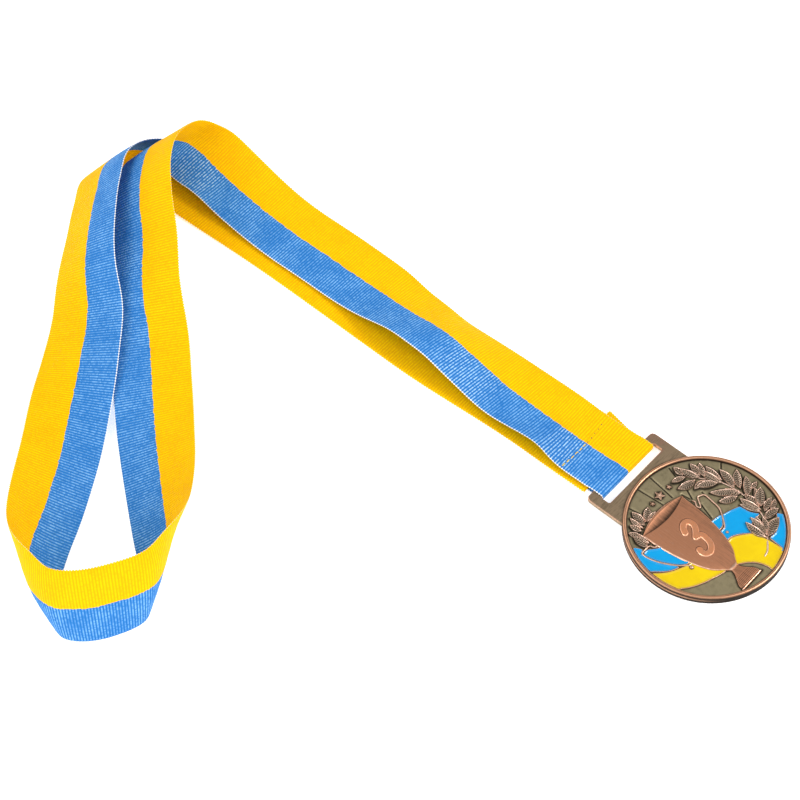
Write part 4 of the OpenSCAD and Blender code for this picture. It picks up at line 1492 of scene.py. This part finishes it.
@dataclass
class SunkField(Assembly):
    """The sunk field behind the relief, cut by rays, darkened beside all that stands on it by dark
    patina and painted shade.
    """

    inner: float = 0.6
    radial_step: float = 0.2
    turn_steps: int = 720
    groove: float = 0.36
    depth: float = 0.25
    tilt: float = 0.2
    tilt_fade: float = 1.1
    halo: float = 0.6
    rim_halo: float = 0.35
    bottom: float = 1.3

    def marks(self, cup: Cup, laurel: Laurel) -> Array:
        """Points along every outline that stands on the field.

        Args:
            cup: The cup.
            laurel: The laurel.

        Returns:
            Points x, y.
        """
        bowl, b = [], np.linspace(-1, 1, 60)
        for y, table in ((np.linspace(-15, cup.mouth_y, 90), CUP_BOWL),
                         (np.linspace(CUP_FOOT[0][0], cup.foot_end, 30), CUP_FOOT)):
            bowl += [np.column_stack([cup.middle + side * cup.half(y, table), y]) for side in (-1, 1)]
        lip_half, foot_half = CUP_BOWL[0][1], CUP_FOOT[-1][1] + 0.25
        bowl.append(np.column_stack([
            cup.middle + lip_half * b, cup.mouth_y + cup.mouth_back * (1 - b * b)]))
        bowl.append(np.column_stack([cup.middle + foot_half * b, np.full(60, cup.foot_end)]))
        leaves = [laurel.outline(leaf) for leaf in LEAVES]
        lines = [evened(curved(table), 0.3) for table in (STEM, HANDLE_LEFT, HANDLE_RIGHT)]
        turn = full_turn(24)
        ring = 0.6 * np.stack([np.cos(turn), np.sin(turn)], -1)
        stars = [r * ring + [x, y] for x, y, r in STARS]
        pools = [looped(table) for table in POOLS.values()]
        return np.vstack(bowl + leaves + lines + stars + pools)

    def build(self, cup: Cup, laurel: Laurel) -> None:
        """Make the field and dress it.

        It is a ring of straight sections from the middle to the rim, closed underneath.
        Its height drops in a narrow groove on each ray line, and on one side of the line
        it climbs back slowly, so that the wedge between two rays lies aslant.

        Args:
            cup: The cup.
            laurel: The laurel.
        """
        radius = np.linspace(self.inner, FIELD_R, round((FIELD_R - self.inner) / self.radial_step))
        angle = full_turn(self.turn_steps)[:, None]
        x, y = radius * np.cos(angle), radius * np.sin(angle)
        at = listed(x, y)
        z, cut = np.full(len(at), FIELD_Z), np.zeros(len(at))
        for x0, y0, x1, y1 in RAYS:
            start, run = np.array([x0, y0]), np.array([x1 - x0, y1 - y0], float)
            long = np.linalg.norm(run)
            off = at - start
            ahead = off @ run / long
            beside = (off @ np.array([-run[1], run[0]])) / long
            span = eased(ahead, -0.5, 0) * eased(long - ahead, -0.3, 0.3)
            line = bell(beside, 0, self.groove)
            step = np.where(beside > 0, np.exp(-beside / self.tilt_fade), 0)
            z -= span * (self.depth * line + self.tilt * step)
            cut = np.maximum(cut, span * line)
        far = np.hypot(at[:, 0], at[:, 1])
        near = nearest(at, self.marks(cup, laurel))
        # Dark patina and painted shade beside the rim, round all that stands on the field and in each
        # ray groove; a painted highlight runs beside each groove
        beside_rim = np.exp(-(FIELD_R - far).clip(0) / self.rim_halo)
        halo = np.exp(-(near / self.halo) ** 1.5)
        shade = np.maximum.reduce([cut, 0.9 * beside_rim, 0.95 * halo])
        relief = 0.42 - 0.2 * halo + 0.2 * bell(cut, 0.25, 0.2) * (cut > 0.01)
        shell = Shell("sunk_field")
        shell.relief_rows(
            np.stack([x, y, z.reshape(x.shape)], -1), relief.reshape(x.shape),
            shade.reshape(x.shape), under=(0.0, 0.0), bottom=self.bottom, closed=True)
        olive = PlatedFinish("olive_patina", low=(0.12, 0.10, 0.058, 1), mid=(0.37, 0.31, 0.185, 1),
                             high=(0.55, 0.48, 0.32, 1), mottle=0.7, stretch=(500.0, 500.0, 500.0))
        shell.piece(olive.material(self.effects), Slot.METAL, sharp=60)


@dataclass
class EnamelPools(Assembly):
    """The enamel pools and the thin ridge round each."""

    pitch: float = 0.12
    margin: float = 0.4
    rise: float = 0.08
    climb: float = 0.3
    fade: float = 0.34
    ridge_w: float = 0.38
    ridge_h: float = 0.3

    def pool(self, name: str, table: Table, slot: Slot, finish: bpy.types.Material) -> Array:
        """One pool, level in the middle and drawn up against its ridge.

        The height is the level plus a share that fades with the distance from the edge.

        Args:
            name: The CAD node that it stands for.
            table: Its outline.
            slot: The record's slot.
            finish: Its enamel.

        Returns:
            The smooth outline.
        """
        outline = looped(table)
        low, high = outline.min(0) - self.margin, outline.max(0) + self.margin
        x, y = np.meshgrid(*(np.arange(low[k], high[k], self.pitch) for k in range(2)))
        away = to_loop(listed(x, y), outline).reshape(x.shape)
        middle = (away[:-1, :-1] + away[1:, 1:] + away[1:, :-1] + away[:-1, 1:]) / 4
        edge = np.exp(np.minimum(away, 0) / self.fade)
        level = FIELD_Z + self.rise + self.climb * edge
        shell = Shell(name.replace("pool", "enamel"))
        shell.slab(x, y, middle < 0.1, level, FLOOR_Z + 0.02, relief=edge)
        shell.piece(finish, slot, name, sharp=60)
        return outline

    def build(self) -> None:
        """Make every pool and ridge and dress them."""
        blue = EnamelFinish("blue_enamel_gloss", (0.0, 0.32, 0.68, 1), (0.0, 0.24, 0.55, 1))
        yellow = EnamelFinish("yellow_enamel_gloss", (0.76, 0.55, 0.0, 1), (0.60, 0.38, 0.0, 1))
        finishes = {Slot.BLUE: blue.material(), Slot.YELLOW: yellow.material()}
        ridge = PlatedFinish("ridge_copper", low=(0.08, 0.045, 0.028, 1), mid=(0.34, 0.19, 0.12, 1),
                             high=(0.80, 0.48, 0.33, 1)).material(self.effects)
        ridges = Shell("pool_ridges")
        for name, table in POOLS.items():
            slot = Slot.BLUE if name.startswith("blue") else Slot.YELLOW
            outline = self.pool(name, table, slot, finishes[slot])
            inward = leftward(np.roll(outline, -1, 0) - np.roll(outline, 1, 0))
            middle = outline - inward * self.ridge_w / 2
            Line(middle, self.ridge_w, self.ridge_h, closed=True).add(ridges)
        ridges.piece(ridge, Slot.METAL, sharp=60)


@dataclass(frozen=True)
class Lay:
    """How the ribbon lies, with one row for each station along it."""

    along: Array
    middle: Array
    across: Array
    face: Array
    bow: Array


@dataclass
class Ribbon(Assembly):
    """The neck ribbon: hemmed round the tab's bar, then one long loop back to it."""

    half: float = 12.0
    blue_edge: float = 12.2
    yellow_edge: float = 12.5
    thick: float = 0.42
    rib: float = 0.9
    rib_rise: float = 0.04
    pucker: float = 0.1
    pucker_at: float = 8.0
    pucker_reach: float = 6.0
    pucker_fade: float = 4.0
    scallop: float = 0.11
    spacing: float = 0.225
    route_step: float = 0.2
    hem_end: float = 48.0
    bar: tuple[float, float] = (30.05, 1.8)
    turn_r: float = 1.05
    turn_y: float = 0.55
    turn_steps: int = 40
    hem_steps: int = 80
    hem_x: float = -0.3
    hem_skew: float = 2.3
    skew_from: float = 35.0
    lead_end: float = 33.5
    stitch_y: float = 45.0
    stitch_first: float = -11.35
    stitch_last: float = 10.0
    stitch_pitch: float = 1.95
    stitch_r: float = 0.17
    stitch_size: tuple[float, float] = (1.4, 0.3)
    hole_size: tuple[float, float] = (0.6, 0.12)
    holes_from: float = -1.0
    row_bow: float = 0.9
    hem_layer: tuple[float, float] = (0.0, 16.0)
    top_layer: tuple[float, float] = (23.0, 60.0)
    fray_threads: int = 18
    fray_roots: tuple[float, float] = (7.0, 11.9)
    fray_r: float = 0.055
    lay: Lay | None = None

    def route(self) -> Array:
        """Stations along the loop: middle, direction across, bow.

        Between two rows of the table each value follows a cubic whose slope is the mean
        of both sides, held low enough that it never overshoots. A bell-shaped average
        then softens the folds.

        Returns:
            Rows of seven values.
        """
        table = np.array(ROUTE, float)
        heading, lean = np.radians(table[:, 3]), np.radians(table[:, 4])
        rows = np.column_stack([
            table[:, :3], np.cos(lean) * np.cos(heading), np.cos(lean) * np.sin(heading),
            np.sin(lean), table[:, 5]])
        knots = arc_length(table[:, :3])
        gap = np.diff(knots)[:, None]
        pitch = np.diff(rows, axis=0) / gap
        mean = (pitch[:-1] * gap[1:] + pitch[1:] * gap[:-1]) / (gap[1:] + gap[:-1])
        most = 3 * np.minimum(np.abs(pitch[:-1]), np.abs(pitch[1:]))
        held = np.sign(mean) * np.minimum(np.abs(mean), most)
        inner = np.where(pitch[:-1] * pitch[1:] <= 0, 0, held)
        slope = np.vstack([pitch[:1], inner, pitch[-1:]])
        at = np.arange(0, knots[-1], self.route_step)
        i = np.clip(np.searchsorted(knots, at, side="right") - 1, 0, len(knots) - 2)
        span = gap[i]
        u = (at - knots[i])[:, None] / span
        line = cubic(rows[i], rows[i + 1], slope[i] * span, slope[i + 1] * span, u)
        return softened(line, bell(np.linspace(-2, 2, 61), 0, 1))

    def stations(self) -> Lay:
        """The whole ribbon from the hem's cut end, at even steps.

        The hem is straight, then half an ellipse leads round the tab's bar to the route.

        Returns:
            The stations.
        """
        y = np.linspace(self.hem_end, self.bar[0] + 0.5, self.hem_steps)
        low = self.bar[1] - self.turn_r
        skew = self.hem_skew * eased(y, self.skew_from, self.hem_end)
        hem = np.column_stack([self.hem_x + skew, y, np.full(len(y), low)])
        turn = np.radians(np.linspace(-90, -270, self.turn_steps))
        round_bar = np.column_stack([
            np.full(len(turn), self.hem_x), self.bar[0] + self.turn_y * np.cos(turn),
            self.bar[1] + self.turn_r * np.sin(turn)])
        over = np.array([[self.hem_x, self.lead_end, self.bar[1] + self.turn_r]])
        lead = np.vstack([hem, round_bar, over])
        extra = np.tile([1.0, 0, 0, 0], (len(lead), 1))
        rows = np.vstack([np.hstack([lead, extra]), self.route()])
        run = arc_length(rows[:, :3])
        along = np.linspace(0, run[-1], round(run[-1] / self.spacing) + 1)
        rows = softened(resampled(rows, run, along), np.array([1.0, 2, 3, 2, 1]))
        middle, across = rows[:, :3], unit(rows[:, 3:6])
        ahead = unit(np.gradient(middle, axis=0))
        return Lay(along, middle, across, unit(np.cross(across, ahead)), rows[:, 6])

    def on_face(self, at: Array, side: Array, lift: Array) -> Array:
        """Points on the cloth.

        A section bows as a parabola, and it draws in sideways with the square of the bow.

        Args:
            at: Station numbers.
            side: Distance from the middle towards the yellow edge.
            lift: Distance out of the cloth's middle, towards its upper face.

        Returns:
            Points x, y, z.
        """
        lay = self.lay
        sag = lay.bow[at] / self.half
        return (lay.middle[at] + lay.across[at] * (side * (1 - 2 / 3 * sag ** 2))[:, None]
                + lay.face[at] * (lift - lay.bow[at] * (side / self.half) ** 2)[:, None])

    def stitched_at(self) -> tuple[int, int]:
        """Stations of the stitch line.

        Returns:
            The one on the top layer and the one on the hem under it.
        """
        along, off = self.lay.along, np.abs(self.lay.middle[:, 1] - self.stitch_y)
        top, hem = (int(np.argmin(np.where((along >= start) & (along < end), off, np.inf)))
                    for start, end in (self.top_layer, self.hem_layer))
        return top, hem

    def cloth(self, finish: bpy.types.Material) -> bpy.types.Object:
        """The cloth: a thin section of two ribbed faces, carried along the stations.

        The half thickness swells by a cosine at every rib, and so does the width, which
        gives the edges their fine scallops. Past the stitches the blue half is puckered.

        Args:
            finish: The ribbon's finish.

        Returns:
            The ribbon.
        """
        along = self.lay.along
        # Share of the half width, share of the half thickness there
        section = np.array([[0.25, 1], [0.5, 1], [0.75, 1], [0.915, 1], [0.975, 0.72], [1, 0]])
        wide = np.r_[-section[::-1, 0], 0, section[:, 0]]
        full = np.r_[section[::-1, 1], 1, section[:, 1]]
        w = np.r_[wide, wide[-2:0:-1]]
        w = w * np.where(w > 0, self.yellow_edge, self.blue_edge)
        h = np.r_[full, -full[-2:0:-1]]
        wave = np.cos(2 * np.pi * along / self.rib)[:, None]
        side = w[None] * (1 + self.scallop / self.half * wave)
        beyond = along[:, None] - along[self.stitched_at()[0]] - self.pucker_at
        puckered = bell(beyond, 0, self.pucker_reach) * eased(w, self.pucker_fade, -self.pucker_fade)
        lift = h[None] * (self.thick / 2 + self.rib_rise * wave) + self.pucker * puckered * wave
        at = np.repeat(np.arange(len(along)), len(w))
        grid = self.on_face(at, side.reshape(-1), lift.reshape(-1)).reshape(len(along), len(w), 3)
        shell = Shell("neck_ribbon")
        shell.tube(grid, across=np.broadcast_to(w[None], side.shape), along=along[:, None])
        return shell.piece(finish, Slot.CLOTH, "ribbon", sharp=75)

    def stitches(self, finish: bpy.types.Material) -> list[bpy.types.Object]:
        """The row of stitches that closes the hem, on the top layer and under the hem.

        Each stitch is a thread that comes out of the cloth, arches over it and goes back in.
        On the yellow half it is drawn in, and a short dark thread stands in for its pit, a painted
        shadow.

        Args:
            finish: The thread's finish.

        Returns:
            The stitches and the painted shadows of the drawn-in ones.
        """
        shell, hole_shadows = Shell("hem_stitches"), Shell("needle_hole_shadows")
        q = np.linspace(0, 1, 11)
        upper, lower = self.stitched_at()
        arch = np.sin(np.pi * q)
        for start in np.arange(self.stitch_first, self.stitch_last, self.stitch_pitch):
            layer, (long, lift) = shell, self.stitch_size
            if start > self.holes_from:
                layer, (long, lift) = hole_shadows, self.hole_size
            side = start + long * q
            shift = np.round(self.row_bow * (side / self.half) ** 2 / self.spacing).astype(int)
            for station, thin in ((upper, 1.0), (lower, 0.7)):
                path = self.on_face(station + shift, side, thin * lift * arch ** 0.6 + 0.02)
                tube = threaded(path, thin * self.stitch_r * (0.75 + 0.25 * arch),
                                self.lay.face[station])
                layer.tube(tube, across=np.zeros((1, 1)), along=1.5 * q[:, None])
        # A dark thread as painted shadow in each needle hole
        dark = ThreadFinish("needle_hole_shadow_thread", (0.16, 0.10, 0.02, 1), (0.05, 0.03, 0.01, 1))
        return [shell.piece(finish, Slot.CLOTH, sharp=60),
                hole_shadows.piece(dark.material(self.effects), Slot.CLOTH, sharp=60)]

    def fray(self, finish: bpy.types.Material) -> bpy.types.Object:
        """Loose threads at the corner of the hem's cut end.

        Each leaves the cut end along its own aim and curls away with the square of its run.

        Args:
            finish: The thread's finish.

        Returns:
            The piece.
        """
        rng = np.random.default_rng(7)
        shell = Shell("hem_fray")
        q = np.linspace(0, 1, 12)
        for root in np.linspace(*self.fray_roots, self.fray_threads):
            lift = rng.uniform(-0.1, 0.1)
            start = self.on_face(np.array([1]), np.array([root]), np.array([lift]))[0]
            long = rng.uniform(0.8, 2.0)
            aim = np.array([rng.uniform(-0.2, 0.9), 1.0, rng.uniform(0.0, 0.35)])
            curl = rng.normal(0, 0.35, 3) * [1, 1, 0.3]
            path = start + long * (unit(aim) * q[:, None] + curl * (q * q)[:, None])
            path[:, 2] = np.maximum(path[:, 2], 0.08)
            tube = threaded(path, self.fray_r * (1 - 0.6 * q), np.array([0.1, 0.0, 1.0]), 6)
            shell.tube(tube, across=np.zeros((1, 1)), along=long * q[:, None])
        return shell.piece(finish, Slot.CLOTH, sharp=60)

    def build(self) -> None:
        self.lay = self.stations()
        woven = RibbonFinish("woven_ribbon", rib=self.rib, blue=(0.018, 0.165, 0.50, 1),
                             blue_light=(0.20, 0.45, 0.80, 1), yellow=(0.98, 0.575, 0.0, 1),
                             yellow_deep=(0.84, 0.41, 0.0, 1))
        sewing = ThreadFinish("sewing_thread", (0.98, 0.66, 0.03, 1), (0.72, 0.42, 0.0, 1))
        thread = sewing.material(self.effects)
        cloth = self.cloth(woven.material(self.effects))
        extras = [*self.stitches(thread), self.fray(thread)]


@dataclass
class Studio:
    """The camera, the white floor and the soft light."""

    camera_at: tuple[float, float, float] = (-0.3516, -0.1886, 0.6341)
    looks_at: tuple[float, float, float] = (-0.0247, 0.0993, 0.0)
    lens: float = 112.5
    floor_half: float = 3.0
    mirrored: tuple[float, float, float] = (0.425, 0.374, 0.824)
    sky_glow: float = 1.0
    patch_glow: float = 0.3
    floor_drop: float = 0.00002

    def turned(self, at: tuple[float, float, float]) -> Euler:
        """How a thing at that place is turned to face the medal and the ribbon."""
        return (Vector(self.looks_at) - Vector(at)).to_track_quat("-Z", "Y").to_euler()

    def camera(self) -> None:
        """Set the camera where the photograph was taken from."""
        data = bpy.data.cameras.new("photo_camera")
        data.lens, data.sensor_width = self.lens, 36.0
        data.clip_start, data.clip_end = 0.01, 20.0
        camera = bpy.data.objects.new("photo_camera", data)
        camera.location, camera.rotation_euler = self.camera_at, self.turned(self.camera_at)
        bpy.context.scene.collection.objects.link(camera)
        bpy.context.scene.camera = camera

    def floor(self) -> None:
        """Lay the white paper that everything lies on."""
        mesh = bpy.data.meshes.new("floor")
        s, z = self.floor_half, -self.floor_drop
        mesh.from_pydata([(-s, -s, z), (s, -s, z), (s, s, z), (-s, s, z)], [], [(0, 1, 2, 3)])
        mesh.materials.append(FloorFinish().material())
        floor = bpy.data.objects.new("floor", mesh)
        bpy.context.scene.collection.objects.link(floor)

    def sky(self) -> None:
        """Light from all round, with one dark patch.

        The patch lies where a level face would mirror it into the camera, so that level
        metal and enamel show their own colour and only their bevels shine.
        """
        world = bpy.data.worlds.new("studio")
        world.use_nodes = True
        bpy.context.scene.world = world
        graph = Graph(world.node_tree)
        direction = graph.node("TexCoord").outputs["Generated"]
        toward = graph.node("VectorMath", {0: direction, 1: self.mirrored},
                            operation="DOT_PRODUCT").outputs["Value"]
        glow = graph.ramp(toward, 0.75, 0.94, self.sky_glow, self.patch_glow)
        background = world.node_tree.nodes["Background"]
        graph.filled(background, {"Color": (1, 1, 1, 1), "Strength": glow})

    def lamp(self, name: str, at: tuple[float, float, float], size: float, power: float) -> None:
        """Hang one square soft light that faces the medal and the ribbon.

        Args:
            name: Its name.
            at: Its place.
            size: Its side.
            power: Its power in watts.
        """
        data = bpy.data.lights.new(name, "AREA")
        data.energy, data.size = power, size
        lamp = bpy.data.objects.new(name, data)
        lamp.location, lamp.rotation_euler = at, self.turned(at)
        bpy.context.scene.collection.objects.link(lamp)

    def build(self) -> None:
        """Set up the whole studio."""
        self.camera()
        self.floor()
        self.sky()
        self.lamp("key", (0.50, -0.71, 0.87), 0.4, 8.0)
        self.lamp("fill", (-0.3, 0.95, 1.1), 0.8, 3.0)
        self.lamp("low", (-0.95, 0.15, 0.42), 0.5, 3.0)
        bpy.context.scene.view_settings.view_transform = "Standard"


def main() -> None:
    """Build and dress every sub-assembly in order."""
    logging.basicConfig(level=logging.INFO, format="%(message)s")
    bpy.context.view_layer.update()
    Studio().build()
    effects = SharedEffects()
    cup, laurel = Cup(effects), Laurel(effects)
    MedalBody(effects).build()
    SunkField(effects).build(cup, laurel)
    EnamelPools(effects).build()
    cup.build()
    laurel.build()
    Ornaments(effects).build()
    Ribbon(effects).build()


if __name__ == "__main__":
    main()
